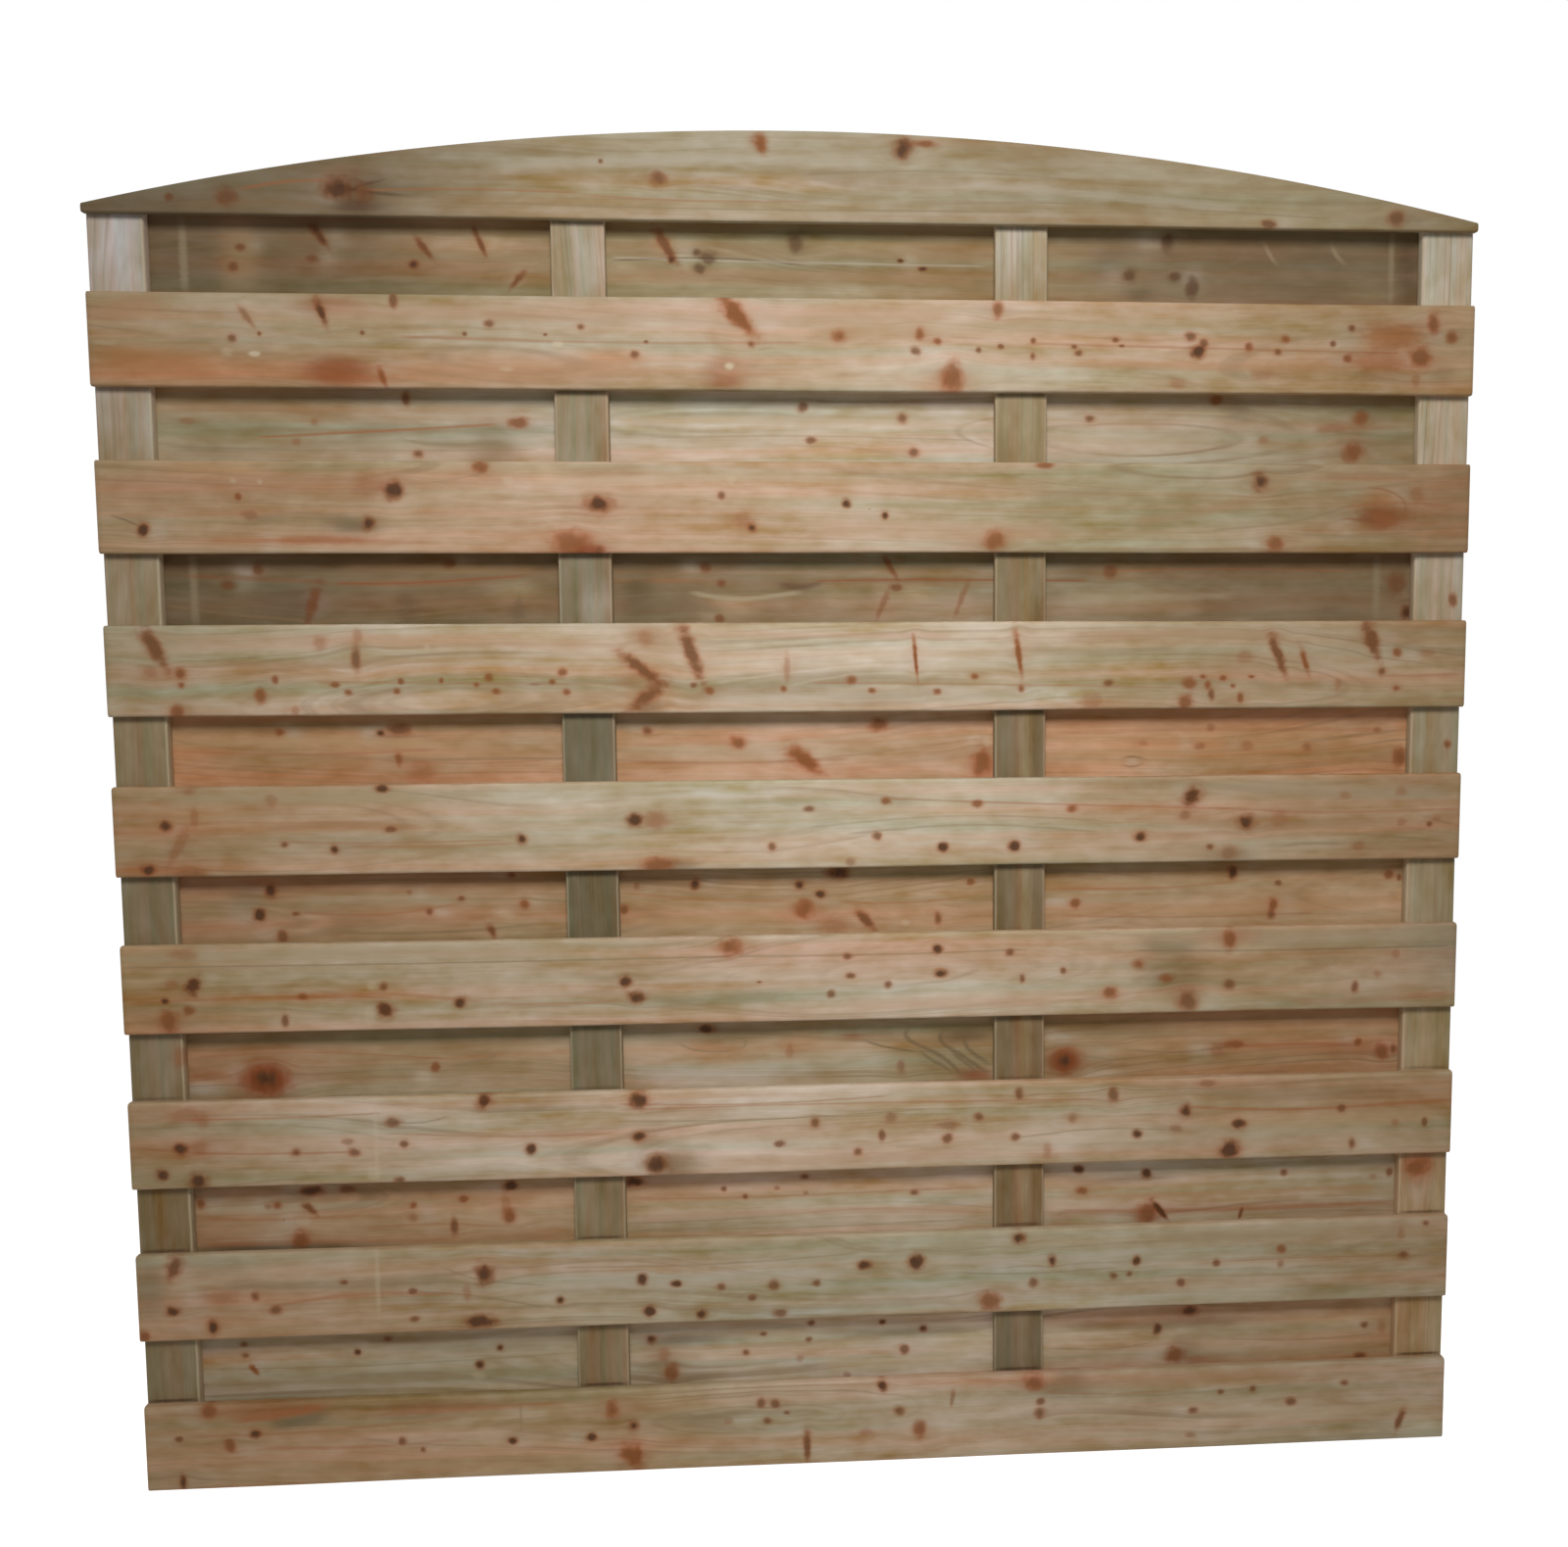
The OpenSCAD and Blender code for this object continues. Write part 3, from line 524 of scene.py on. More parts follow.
# Streaks along the grain, creases and bars: (tone, half width, strength, x, z, x, z, ...), placed as knots are
STREAKS = {
    "front_board_8": [
        ("amber", 14, 0.6, 0, 96, 60, 100, 110, 104), ("orange", 16, 0.5, 0, 40, 90, 30, 170, 24), ("amber", 9, 0.5, 380, 22, 520, 26, 700, 30),
        ("pink", 10, 0.5, 280, 96, 700, 92, 1100, 100), ("rust", 2.0, 0.35, 380, 66, 620, 60, 900, 62),
        ("tan", 5, 0.4, 400, 20, 560, 14, 700, 22), ("rust", 1.6, 0.4, 1190, 64, 1420, 60, 1700, 55),
        ("sage", 8, 0.5, 900, 76, 1150, 84, 1400, 84), ("amber", 6, 0.4, 1250, 40, 1480, 34, 1640, 30),
    ],
    "front_board_7": [
        ("rust", 12, 0.3, 0, 84, 150, 90, 330, 86), ("bark", 1.6, 0.4, 15, 50, 35, 44, 60, 32),
        ("moss", 6, 0.3, 175, 40, 250, 50, 330, 44), ("moss", 7, 0.35, 290, 30, 320, 38, 350, 36),
        ("rust", 2.5, 0.3, 130, 17, 300, 17, 420, 14), ("pink", 12, 0.45, 900, 40, 1080, 28, 1250, 30),
        ("lichen", 9, 0.4, 1190, 70, 1260, 80, 1330, 78), ("tan", 7, 0.45, 1330, 40, 1480, 62, 1560, 100),
        ("lichen", 2.0, 0.45, 1440, 30, 1560, 40, 1640, 66), ("lichen", 2.0, 0.4, 1560, 24, 1680, 22, 1780, 40),
        ("rust", 2.0, 0.4, 1620, 60, 1690, 70, 1780, 62), ("cream", 6, 0.4, 560, 90, 800, 100, 1000, 96),
        ("russet", 1.5, 0.5, 1615, 44, 1632, 47, 1655, 43), ("russet", 1.6, 0.4, 1655, 88, 1690, 84, 1712, 68, 1708, 48),
    ],
    "front_board_6": [
        ("peach", 9, 0.4, 90, 96, 330, 100, 640, 92), ("tan", 5, 0.3, 130, 70, 260, 66, 400, 72),
        ("rust", 1.8, 0.3, 260, 45, 480, 42, 680, 40), ("rust", 1.6, 0.35, 900, 40, 1150, 36, 1400, 30),
        ("silver", 12, 0.35, 760, 18, 960, 16, 1160, 20), ("tan", 9, 0.5, 1240, 100, 1420, 104, 1560, 98),
        ("lichen", 5, 0.35, 1190, 84, 1300, 76, 1400, 84), ("cream", 4, 0.5, 1560, 58, 1640, 56, 1720, 62),
        ("rust", 1.8, 0.4, 1680, 44, 1740, 44, 1800, 46), ("pink", 5, 0.4, 700, 102, 900, 104, 1100, 100),
    ],
    "front_board_5": [
        ("sage", 10, 0.6, 60, 100, 220, 106, 400, 104), ("tan", 4, 0.5, 190, 64, 290, 70, 400, 62),
        ("rust", 1.4, 0.4, 200, 46, 330, 42, 500, 44), ("rust", 2.2, 0.35, 300, 38, 420, 36, 520, 40),
        ("rust", 1.5, 0.45, 1000, 94, 1200, 84, 1480, 74), ("rust", 2.0, 0.4, 1450, 76, 1600, 66, 1800, 70),
        ("khaki", 10, 0.55, 1380, 104, 1560, 100, 1790, 90), ("tan", 6, 0.4, 1380, 60, 1550, 46, 1700, 52),
        ("lichen", 1.6, 0.4, 950, 46, 1120, 60, 1300, 44), ("lichen", 1.4, 0.3, 900, 56, 1100, 72, 1300, 60),
        ("lichen", 2.2, 0.4, 1540, 20, 1580, 26, 1640, 22),
    ],
    "front_board_4": [
        ("lichen", 1.3, 0.6, 0, 92, 420, 90, 800, 92), ("lichen", 1.3, 0.5, 800, 92, 1000, 90, 1200, 94),
        ("sage", 9, 0.5, 0, 104, 300, 106, 600, 104), ("rust", 1.8, 0.45, 0, 44, 180, 50, 340, 46),
        ("rust", 2.4, 0.35, 200, 46, 330, 54, 470, 36), ("rust", 3.0, 0.35, 470, 34, 560, 30, 660, 36),
        ("lichen", 9, 0.4, 690, 30, 790, 30, 880, 44), ("pink", 8, 0.5, 940, 18, 1080, 22, 1240, 16),
        ("peat", 1.6, 0.4, 1340, 90, 1500, 86, 1790, 88), ("lichen", 10, 0.45, 1340, 110, 1400, 84, 1440, 108),
        ("rust", 5, 0.35, 1560, 14, 1680, 12, 1800, 22), ("khaki", 10, 0.5, 1500, 104, 1650, 102, 1790, 108),
    ],
    "front_board_3": [
        ("rust", 1.6, 0.45, 0, 60, 120, 46, 290, 46), ("rust", 1.4, 0.4, 60, 96, 190, 94, 330, 98),
        ("lichen", 1.4, 0.5, 330, 86, 380, 82, 420, 92), ("rust", 1.2, 0.4, 640, 94, 960, 96, 1300, 92),
        ("rust", 1.3, 0.45, 640, 102, 820, 96, 1010, 104), ("lichen", 1.2, 0.4, 640, 78, 840, 74, 1060, 84),
        ("rust", 2.4, 0.6, 1420, 78, 1560, 68, 1800, 78), ("honey", 9, 0.5, 1440, 56, 1600, 48, 1790, 56),
        ("lichen", 7, 0.35, 1440, 96, 1540, 88, 1680, 96), ("lichen", 1.4, 0.4, 1180, 40, 1300, 52, 1420, 44),
        ("rust", 1.4, 0.35, 330, 70, 500, 60, 640, 62), ("pink", 7, 0.4, 760, 18, 960, 14, 1160, 20),
    ],
    "front_board_2": [
        ("rust", 2.6, 0.45, 170, 44, 280, 60, 420, 54), ("lichen", 1.4, 0.5, 360, 60, 440, 52, 540, 30),
        ("lichen", 1.4, 0.4, 400, 92, 450, 70, 540, 62), ("lichen", 8, 0.4, 100, 78, 260, 70, 420, 76),
        ("silver", 8, 0.4, 560, 66, 760, 60, 960, 64), ("lichen", 1.3, 0.4, 560, 86, 760, 82, 960, 92),
        ("lichen", 5, 0.3, 700, 20, 900, 16, 1100, 22), ("silver", 6, 0.4, 1060, 80, 1200, 76, 1380, 82),
        ("lichen", 1.3, 0.4, 1100, 60, 1200, 54, 1330, 60), ("olive", 9, 0.5, 1380, 100, 1560, 104, 1790, 100),
        ("lichen", 1.2, 0.3, 1380, 46, 1560, 40, 1790, 44), ("rust", 1.2, 0.3, 1440, 62, 1600, 66, 1780, 62),
    ],
    "front_board_1": [
        ("moss", 8, 0.55, 160, 86, 205, 92, 250, 104), ("rust", 6, 0.8, 110, 96, 170, 100, 250, 114),
        ("rust", 2.2, 0.35, 60, 76, 200, 74, 420, 88), ("rust", 2.4, 0.3, 150, 56, 300, 50, 420, 58),
        ("rust", 3, 0.35, 300, 96, 420, 100, 560, 104), ("lichen", 1.6, 0.4, 500, 60, 500, 90, 500, 115),
        ("pink", 5, 0.4, 130, 44, 320, 34, 520, 40), ("lichen", 7, 0.4, 700, 80, 760, 74, 820, 80),
        ("lichen", 1.4, 0.35, 1230, 84, 1400, 80, 1580, 90), ("tan", 9, 0.4, 1220, 104, 1400, 106, 1600, 104),
        ("rust", 2.0, 0.35, 1220, 92, 1320, 84, 1420, 88), ("ivory", 8, 0.35, 1500, 50, 1650, 46, 1790, 54),
    ],
    "arched_board": [
        ("rust", 2.4, 0.5, 190, 30, 250, 42, 310, 44), ("rust", 1.6, 0.45, 340, 32, 480, 36, 620, 33),
        ("rust", 1.4, 0.35, 620, 30, 760, 24, 920, 26), ("bark", 2.2, 0.5, 300, 40, 345, 30, 400, 26),
        ("bark", 2.0, 0.45, 318, 26, 350, 40, 380, 46), ("moss", 9, 0.4, 300, 30, 360, 34, 440, 30),
        ("silver", 8, 0.4, 500, 60, 760, 80, 1000, 76), ("lichen", 1.4, 0.4, 420, 20, 800, 14, 1200, 18),
        ("lichen", 1.4, 0.4, 900, 60, 1100, 70, 1340, 52), ("silver", 6, 0.35, 1100, 50, 1300, 40, 1480, 24),
        ("lichen", 1.2, 0.4, 1200, 30, 1400, 24, 1600, 14), ("umber", 5, 0.4, 110, 10, 200, 14, 300, 14),
    ],
    "back_board_8": [
        ("khaki", 5, 0.5, 123, -6, 123, 45, 123, 96), ("khaki", 4, 0.45, 1682, -6, 1682, 45, 1682, 96),
        ("bronze", 18, 0.45, 196, -6, 196, 45, 196, 96), ("bark", 1.4, 0.5, 655, 44, 780, 50, 900, 42),
        ("silver", 1.6, 0.35, 655, 48, 800, 45, 1140, 42), ("sage", 3, 0.5, 1508, 80, 1516, 62, 1530, 46),
        ("sage", 3, 0.5, 1598, 80, 1606, 62, 1622, 48), ("lichen", 2.0, 0.4, 300, 14, 420, 22, 540, 12), ("tan", 5, 0.4, 660, 26, 860, 30, 1130, 20),
        ("lichen", 2.0, 0.4, 1240, 12, 1330, 20, 1440, 10), ("peat", 7, 0.4, 1500, 20, 1600, 16, 1700, 20),
    ],
    "back_board_7": [
        ("rust", 1.8, 0.65, 200, 28, 350, 36, 510, 46), ("cream", 5, 0.6, 655, 50, 860, 54, 1140, 46),
        ("lichen", 2.4, 0.5, 380, 26, 440, 18, 520, 24), ("tan", 4, 0.35, 90, 66, 300, 62, 560, 64),
        ("lichen", 5, 0.5, 1440, 74, 1520, 62, 1560, 40), ("lichen", 4, 0.4, 1600, 30, 1680, 26, 1740, 34),
        ("honey", 4, 0.3, 655, 14, 900, 10, 1140, 16), ("cream", 7, 0.4, 1220, 34, 1330, 26, 1460, 34),
        ("lichen", 1.2, 0.3, 90, 16, 300, 10, 560, 14), ("lichen", 1.2, 0.3, 700, 30, 900, 34, 1130, 28),
    ],
    "back_board_6": [
        ("stone", 5, 0.55, 117, -6, 117, 45, 117, 96), ("stone", 5, 0.5, 1672, -6, 1672, 45, 1672, 96),
        ("russet", 1.8, 0.6, 290, 52, 400, 52, 540, 62), ("russet", 3.0, 0.35, 100, 62, 200, 58, 290, 54),
        ("khaki", 3.2, 0.7, 745, 40, 810, 28, 900, 40), ("bark", 4, 0.5, 860, 52, 890, 44, 930, 54),
        ("russet", 1.4, 0.7, 910, 54, 1030, 56, 1280, 54), ("moss", 7, 0.5, 655, 20, 740, 26, 800, 14),
        ("tan", 6, 0.4, 300, 74, 430, 72, 560, 70), ("peat", 4, 0.5, 385, 45, 383, 20, 380, 0),
        ("peat", 4, 0.5, 530, 45, 526, 20, 520, 0), ("khaki", 5, 0.35, 1240, 36, 1350, 30, 1480, 34),
        ("rust", 1.6, 0.35, 1300, 66, 1450, 70, 1640, 66),
    ],
    "back_board_5": [
        ("rust", 2.2, 0.35, 90, 46, 250, 38, 420, 46), ("rust", 1.6, 0.35, 380, 30, 460, 26, 560, 30),
        ("honey", 5, 0.5, 90, 56, 260, 60, 420, 54), ("cream", 4, 0.35, 655, 44, 800, 42, 1000, 60),
        ("rust", 1.8, 0.35, 660, 26, 800, 22, 960, 28), ("rust", 3, 0.3, 1230, 60, 1450, 64, 1700, 60),
        ("honey", 6, 0.4, 1240, 36, 1400, 32, 1600, 40), ("bark", 1.6, 0.5, 1322, 24, 1340, 28, 1360, 22),
        ("bark", 1.6, 0.4, 1322, 16, 1340, 12, 1358, 18), ("silver", 4, 0.7, 1328, 20, 1340, 20, 1352, 20),
    ],
    "back_board_4": [
        ("rust", 2.0, 0.4, 230, 42, 330, 34, 440, 50), ("khaki", 6, 0.5, 230, 56, 330, 60, 440, 54),
        ("moss", 2.0, 0.35, 280, 14, 400, 10, 540, 20), ("rust", 2.4, 0.35, 655, 60, 760, 50, 880, 46),
        ("rust", 1.8, 0.4, 940, 44, 1040, 40, 1130, 50), ("honey", 6, 0.4, 655, 24, 760, 20, 860, 26),
        ("rust", 2.2, 0.4, 1230, 58, 1350, 54, 1480, 62), ("honey", 6, 0.45, 1330, 30, 1480, 24, 1690, 34),
        ("rust", 1.6, 0.35, 1240, 20, 1400, 14, 1600, 18), ("khaki", 4, 0.4, 1230, 42, 1330, 40, 1430, 46),
    ],
    "back_board_3": [
        ("coffee", 3.0, 0.6, 1037, 81, 1027, 67, 1045, 55, 1066, 46, 1085, 34, 1100, 19, 1108, 9),
        ("coffee", 2.6, 0.5, 1045, 50, 1066, 32, 1083, 24, 1097, 12), ("coffee", 1.8, 0.6, 971, 63, 999, 53, 1049, 44),
        ("coffee", 3.0, 0.6, 1086, 77, 1075, 65, 1083, 53, 1100, 44, 1118, 30, 1133, 20, 1144, 12),
        ("coffee", 2.6, 0.5, 1087, 50, 1104, 34, 1120, 22, 1131, 11), ("bark", 1.5, 0.5, 1025, 33, 1026, 24),
        ("coffee", 3.0, 0.6, 1110, 68, 1111, 53, 1123, 40, 1139, 30, 1147, 23),
        ("lichen", 1.6, 0.6, 720, 66, 745, 52, 800, 52), ("lichen", 1.6, 0.6, 800, 52, 820, 62, 800, 74),
        ("rust", 1.2, 0.5, 145, 50, 185, 58, 228, 42), ("rust", 1.6, 0.4, 90, 60, 230, 66, 420, 50),
        ("lichen", 1.4, 0.5, 430, 42, 497, 53, 440, 62), ("lichen", 1.4, 0.5, 1270, 34, 1330, 25, 1280, 14),
        ("rust", 2.2, 0.6, 1490, 42, 1580, 44, 1660, 40), ("rust", 6, 0.35, 1540, 30, 1620, 34, 1710, 28),
        ("lichen", 1.3, 0.4, 1280, 56, 1420, 60, 1560, 56), ("moss", 1.4, 0.4, 1340, 40, 1420, 34, 1480, 42),
        ("silver", 9, 0.4, 660, 24, 740, 20, 860, 26),
    ],
    "back_board_2": [
        ("rust", 2.4, 0.4, 90, 14, 260, 12, 420, 10), ("rust", 2.0, 0.35, 90, 50, 180, 44, 300, 48),
        ("khaki", 5, 0.5, 90, 60, 200, 60, 330, 64), ("rust", 1.8, 0.35, 300, 30, 400, 34, 480, 26),
        ("pink", 5, 0.5, 655, 30, 860, 36, 1130, 30), ("rust", 1.8, 0.35, 655, 60, 820, 56, 1130, 62),
        ("rust", 3.0, 0.45, 1240, 24, 1440, 18, 1710, 22), ("amber", 4, 0.45, 1240, 44, 1440, 42, 1700, 46),
        ("lichen", 1.2, 0.3, 660, 14, 900, 12, 1120, 16),
    ],
    "back_board_1": [
        ("olive", 4, 0.4, 90, 30, 300, 24, 560, 30), ("lichen", 1.2, 0.4, 90, 50, 300, 46, 560, 54),
        ("tan", 4, 0.4, 660, 58, 820, 54, 1000, 62), ("lichen", 1.4, 0.4, 1230, 36, 1320, 30, 1380, 40),
        ("lichen", 1.2, 0.4, 1480, 40, 1600, 34, 1700, 40), ("ivory", 8, 0.5, 900, 28, 1000, 24, 1120, 30),
        ("honey", 4, 0.4, 1500, 20, 1600, 16, 1700, 22),
    ],
}

# Mesh spacing along a stick, and the number of strips over its face
STATION = 7.5
FACE_STRIPS = 22
UPRIGHT_STRIPS = 12
EASING_STRIPS = 3
SAWN_EDGE = 0.8
KNOT_SETS = 5
STREAK_SETS = 4
# Half lengths and heights of a knot within which it tints the wood
HALO = 2.1


def linear(tone):
    """A tone's colour in the renderer's linear numbers"""
    share = np.array(TONES[tone]) / 255
    return np.where(share <= 0.04045, share / 12.92, ((share + 0.055) / 1.055) ** 2.4)


def half_section(strips):
    """From the middle of the lower edge, round the front, to the middle of the upper edge. Each point has
    its share of the height and of the thickness, and the edge radii that it stands in from them."""
    turn = [math.radians(90 * i / EASING_STRIPS) for i in range(EASING_STRIPS + 1)]
    points = [(0, 0.5, 0, 0)]
    points += [(0, 0, 1 - math.cos(a), 1 - math.sin(a)) for a in turn]
    points += [(i / strips, 0, 1 - 2 * i / strips, 0) for i in range(1, strips)]
    points += [(1, 0, math.cos(a) - 1, 1 - math.sin(a)) for a in reversed(turn)]
    points += [(1, 0.5, 0, 0)]
    return np.array(points)


def swing(rng, s, wave, size):
    """A slow random change along a stick, from 0 to size"""
    phases = rng.uniform(0, 2 * math.pi, 3)
    waves = [wave, 0.57 * wave, 0.31 * wave]
    weights = [0.5, 0.3, 0.2]
    total = sum(w * np.sin(2 * math.pi * s / length + p) for w, length, p in zip(weights, waves, phases))
    return size * (0.5 + 0.5 * total)


def stick_mesh(name, s, low, high, near, far, radius, strips, upright):
    """A closed mesh swept along s between its low and high edges and its near and far faces, all in
    millimetres. Returns the object and each vertex's place along, up and through the stick."""
    half = half_section(strips)
    back = half[-2:0:-1] * (1, 1, 1, -1)
    back[:, 1] = np.where(back[:, 1] == 0, 1, back[:, 1])
    ring = np.vstack([half, back])
    count, around = len(s), len(ring)
    t = low[:, None] + ring[:, 0] * (high - low)[:, None] + ring[:, 2] * radius
    n = near[:, None] + ring[:, 1] * (far - near)[:, None] + ring[:, 3] * radius
    for end in (0, -1):
        t_mid, n_mid = (low[end] + high[end]) / 2, (near[end] + far[end]) / 2
        t[end] = t_mid + (t[end] - t_mid) * (1 - 2 * SAWN_EDGE / (high[end] - low[end]))
        n[end] = n_mid + (n[end] - n_mid) * (1 - 2 * SAWN_EDGE / (far[end] - near[end]))
    along = np.repeat(s[:, None], around, 1)

    index = np.arange(count * around).reshape(count, around)
    onward = np.roll(index, -1, 1)
    sides = np.stack([index[:-1], onward[:-1], onward[1:], index[1:]], -1).reshape(-1, 4).tolist()
    top = len(half) - 1
    caps = []
    for end, first in ((0, True), (count - 1, False)):
        base = end * around
        cap = [[base + around - 1, base + 1, base]]
        cap += [[base + around - j, base + around - j - 1, base + j + 1, base + j] for j in range(1, top - 1)]
        cap += [[base + top, base + top - 1, base + top + 1][::-1]]
        caps += cap if first else [face[::-1] for face in cap]
    faces = sides + caps
    place = np.stack([along, t, n], -1).reshape(-1, 3)
    if upright:
        points = place[:, [1, 2, 0]]
    else:
        points = place[:, [0, 2, 1]]
        faces = [face[::-1] for face in faces]

    mesh = bpy.data.meshes.new(name)
    mesh.from_pydata((points * MM).tolist(), [], faces)
    mesh.polygons.foreach_set("use_smooth", [True] * len(sides) + [False] * len(caps))
    mesh.polygons.foreach_set("material_index", [0] * len(sides) + [1] * len(caps))
    piece = bpy.data.objects.new(name, mesh)
    bpy.context.scene.collection.objects.link(piece)
    return piece, place


def knot_frame(knot):
    """A knot's centre, its two half sizes, its tilt, its taper and its look"""
    *numbers, look = knot
    if len(numbers) == 4:
        x, z, a, b = numbers
        return x, z, a, b, 0.0, 0.0, look
    x1, z1, x2, z2, width = numbers
    length = math.hypot(x2 - x1, z2 - z1) / 2
    tilt = math.atan2(z2 - z1, x2 - x1)
    return (x1 + x2) / 2, (z1 + z2) / 2, length + width / 2, 1.3 * width, tilt, -0.2, look


def round_the_knot(s, t, knot):
    """Each point's place in the knot's own frame, where the knot's edge is at a distance of 1"""
    x, z, a, b, tilt, taper, look = knot_frame(knot)
    u = ((s - x) * math.cos(tilt) + (t - z) * math.sin(tilt)) / a
    v = ((t - z) * math.cos(tilt) - (s - x) * math.sin(tilt)) / b
    return u, v * (1 - taper * np.clip(u, -1, 1)), a, b


def write_vectors(piece, name, values):
    made = piece.data.attributes.new(name, "FLOAT_VECTOR", "POINT")
    made.data.foreach_set("vector", np.asarray(values, np.float32).ravel())


def write_knots(piece, s, t, knots):
    """Gives each vertex its place round the nearest knot. Knots that lie close together go into
    different sets, so that a face never has to blend two knots' frames."""
    sets = [[] for _ in range(KNOT_SETS)]
    taken = [np.zeros(len(s), bool) for _ in range(KNOT_SETS)]
    for knot in knots:
        u, v, a, b = round_the_knot(s, t, knot)
        beyond = (np.hypot(u, v) - HALO) * min(a, b)
        zone = beyond < 2 * STATION
        clashes = [np.count_nonzero(zone & used) for used in taken]
        best = int(np.argmin(clashes))
        sets[best].append((knot, u, v, beyond))
        taken[best] |= zone
    for number, members in enumerate(sets):
        place = np.zeros((len(s), 3))
        place[:, 0] = 100
        look = np.zeros((len(s), 3))
        nearest = np.full(len(s), np.inf)
        for knot, u, v, beyond in members:
            mine = beyond < nearest
            nearest[mine] = beyond[mine]
            cover, darkness, redness, paleness = knot[-1]
            if len(knot) > 5:
                cover, darkness = min(1, 1.15 * cover), 0.8 * darkness
            place[mine, 0] = u[mine]
            place[mine, 1] = v[mine]
            place[mine, 2] = np.where(beyond[mine] < STATION, cover, 0)
            look[mine] = (darkness, redness, paleness)
        write_vectors(piece, f"knot_{number}", place)
        write_vectors(piece, f"look_{number}", look)


def parted_grain(s, t, knots):
    """The height at which each point's grain runs where no knot pushes it aside"""
    run = t.copy()
    for knot in knots:
        x, z, a, b, tilt, taper, look = knot_frame(knot)
        if look is PALE or look is STAIN:
            continue
        reach = 1.5 * b * abs(math.cos(tilt)) + 1.5 * a * abs(math.sin(tilt))
        spread = 2.4 * max(b, 5)
        near = np.exp(-((s - x) / spread) ** 2 - ((t - z) / reach) ** 2)
        run -= (t - z) * near * (0.25 if taper else 0.7)
    return run


def write_tint(piece, rng, s, t, ends, ground, knots, patches):
    """The wood's broad tone at each vertex: the stick's own tones, a warm stretch of grain on both
    sides of each knot with a pale sheen beside it, and patches over them, a few of which are painted shadow at the top
    of a back board's gap"""
    stops = np.linspace(ends[0], ends[1], len(ground))
    ground = np.array([linear(tone) for tone in ground])
    tint = np.stack([np.interp(s, stops, ground[:, channel]) for channel in range(3)], -1)
    for knot in knots:
        x, z, a, b, tilt, taper, look = knot_frame(knot)
        reach_s, reach_t = 3.0 * a * math.cos(tilt) + 6, 1.3 * b + a * abs(math.sin(tilt))
        near = 0.28 * look[2] * np.exp(-((s - x) / reach_s) ** 2 - ((t - z) / reach_t) ** 2)
        tint += (linear("rust") - tint) * near[:, None]
        beside = x + rng.choice([-1, 1]) * (a * math.cos(tilt) + 1.2 * b + 5)
        near = rng.uniform(0, 0.45) * np.exp(-((s - beside) / (b + 7)) ** 2 - ((t - z) / (b + a / 3 + 4)) ** 2)
        tint += (linear("pearl") - tint) * near[:, None]
    # Tone patches, and on the back boards a few dark patches painted as shadow at the top of a gap
    for x, z, a, b, tone, strength in patches:
        near = strength * np.exp(-(((s - x) / a) ** 2 + ((t - z) / b) ** 2) ** 1.3)
        tint += (linear(tone) - tint) * near[:, None]
    write_vectors(piece, "tint", tint)


def smoothed(points):
    """A line through a few points with its corners rounded"""
    points = np.array(points, float).reshape(-1, 2)
    for _ in range(3):
        inner = np.stack([0.75 * points[:-1] + 0.25 * points[1:], 0.25 * points[:-1] + 0.75 * points[1:]], 1)
        points = np.vstack([points[:1], inner.reshape(-1, 2), points[-1:]])
    return points


def beside_the_line(s, t, points):
    """Each point's distance from a line, with a sign for its side, and how far it is from the line's ends"""
    starts, ends = points[:-1], points[1:]
    run = ends - starts
    lengths = np.hypot(run[:, 0], run[:, 1])
    before = np.concatenate([[0], np.cumsum(lengths)[:-1]])
    away = np.full(len(s), np.inf)
    side = np.ones(len(s))
    inside = np.zeros(len(s))
    for (x, z), (dx, dz), length, so_far in zip(starts, run, lengths, before):
        along = ((s - x) * dx + (t - z) * dz) / length
        held = np.clip(along, 0, length)
        distance = np.hypot(s - x - held * dx / length, t - z - held * dz / length)
        nearer = distance < away
        away[nearer] = distance[nearer]
        side[nearer] = np.sign(dx * (t - z) - dz * (s - x))[nearer]
        inside[nearer] = np.minimum(so_far + along, lengths.sum() - so_far - along)[nearer]
    return away * side, inside


def write_streaks(piece, s, t, streaks):
    """Gives each vertex its place beside the nearest streak, with close ones in different sets"""
    sets = [[] for _ in range(STREAK_SETS)]
    taken = [np.zeros(len(s), bool) for _ in range(STREAK_SETS)]
    for tone, half_width, strength, *points in streaks:
        signed, inside = beside_the_line(s, t, smoothed(points))
        reach = 2 * half_width + STATION
        zone = np.abs(signed) < reach + STATION
        clashes = [np.count_nonzero(zone & used) for used in taken]
        best = int(np.argmin(clashes))
        sets[best].append((signed, inside, half_width, reach, linear(tone), strength))
        taken[best] |= zone
    for number, members in enumerate(sets):
        place = np.zeros((len(s), 3))
        place[:, 0] = 50
        tones = np.zeros((len(s), 3))
        nearest = np.full(len(s), np.inf)
        for signed, inside, half_width, reach, tone, strength in members:
            mine = np.abs(signed) < nearest
            nearest[mine] = np.abs(signed)[mine]
            fade = np.clip(inside / (2 * half_width + 10), 0, 1) * strength
            place[mine, 0] = signed[mine] / half_width
            place[mine, 1] = np.where(np.abs(signed) < reach, fade, 0)[mine]
            tones[mine] = tone
        write_vectors(piece, f"streak_{number}", place)
        write_vectors(piece, f"streak_tone_{number}", tones)


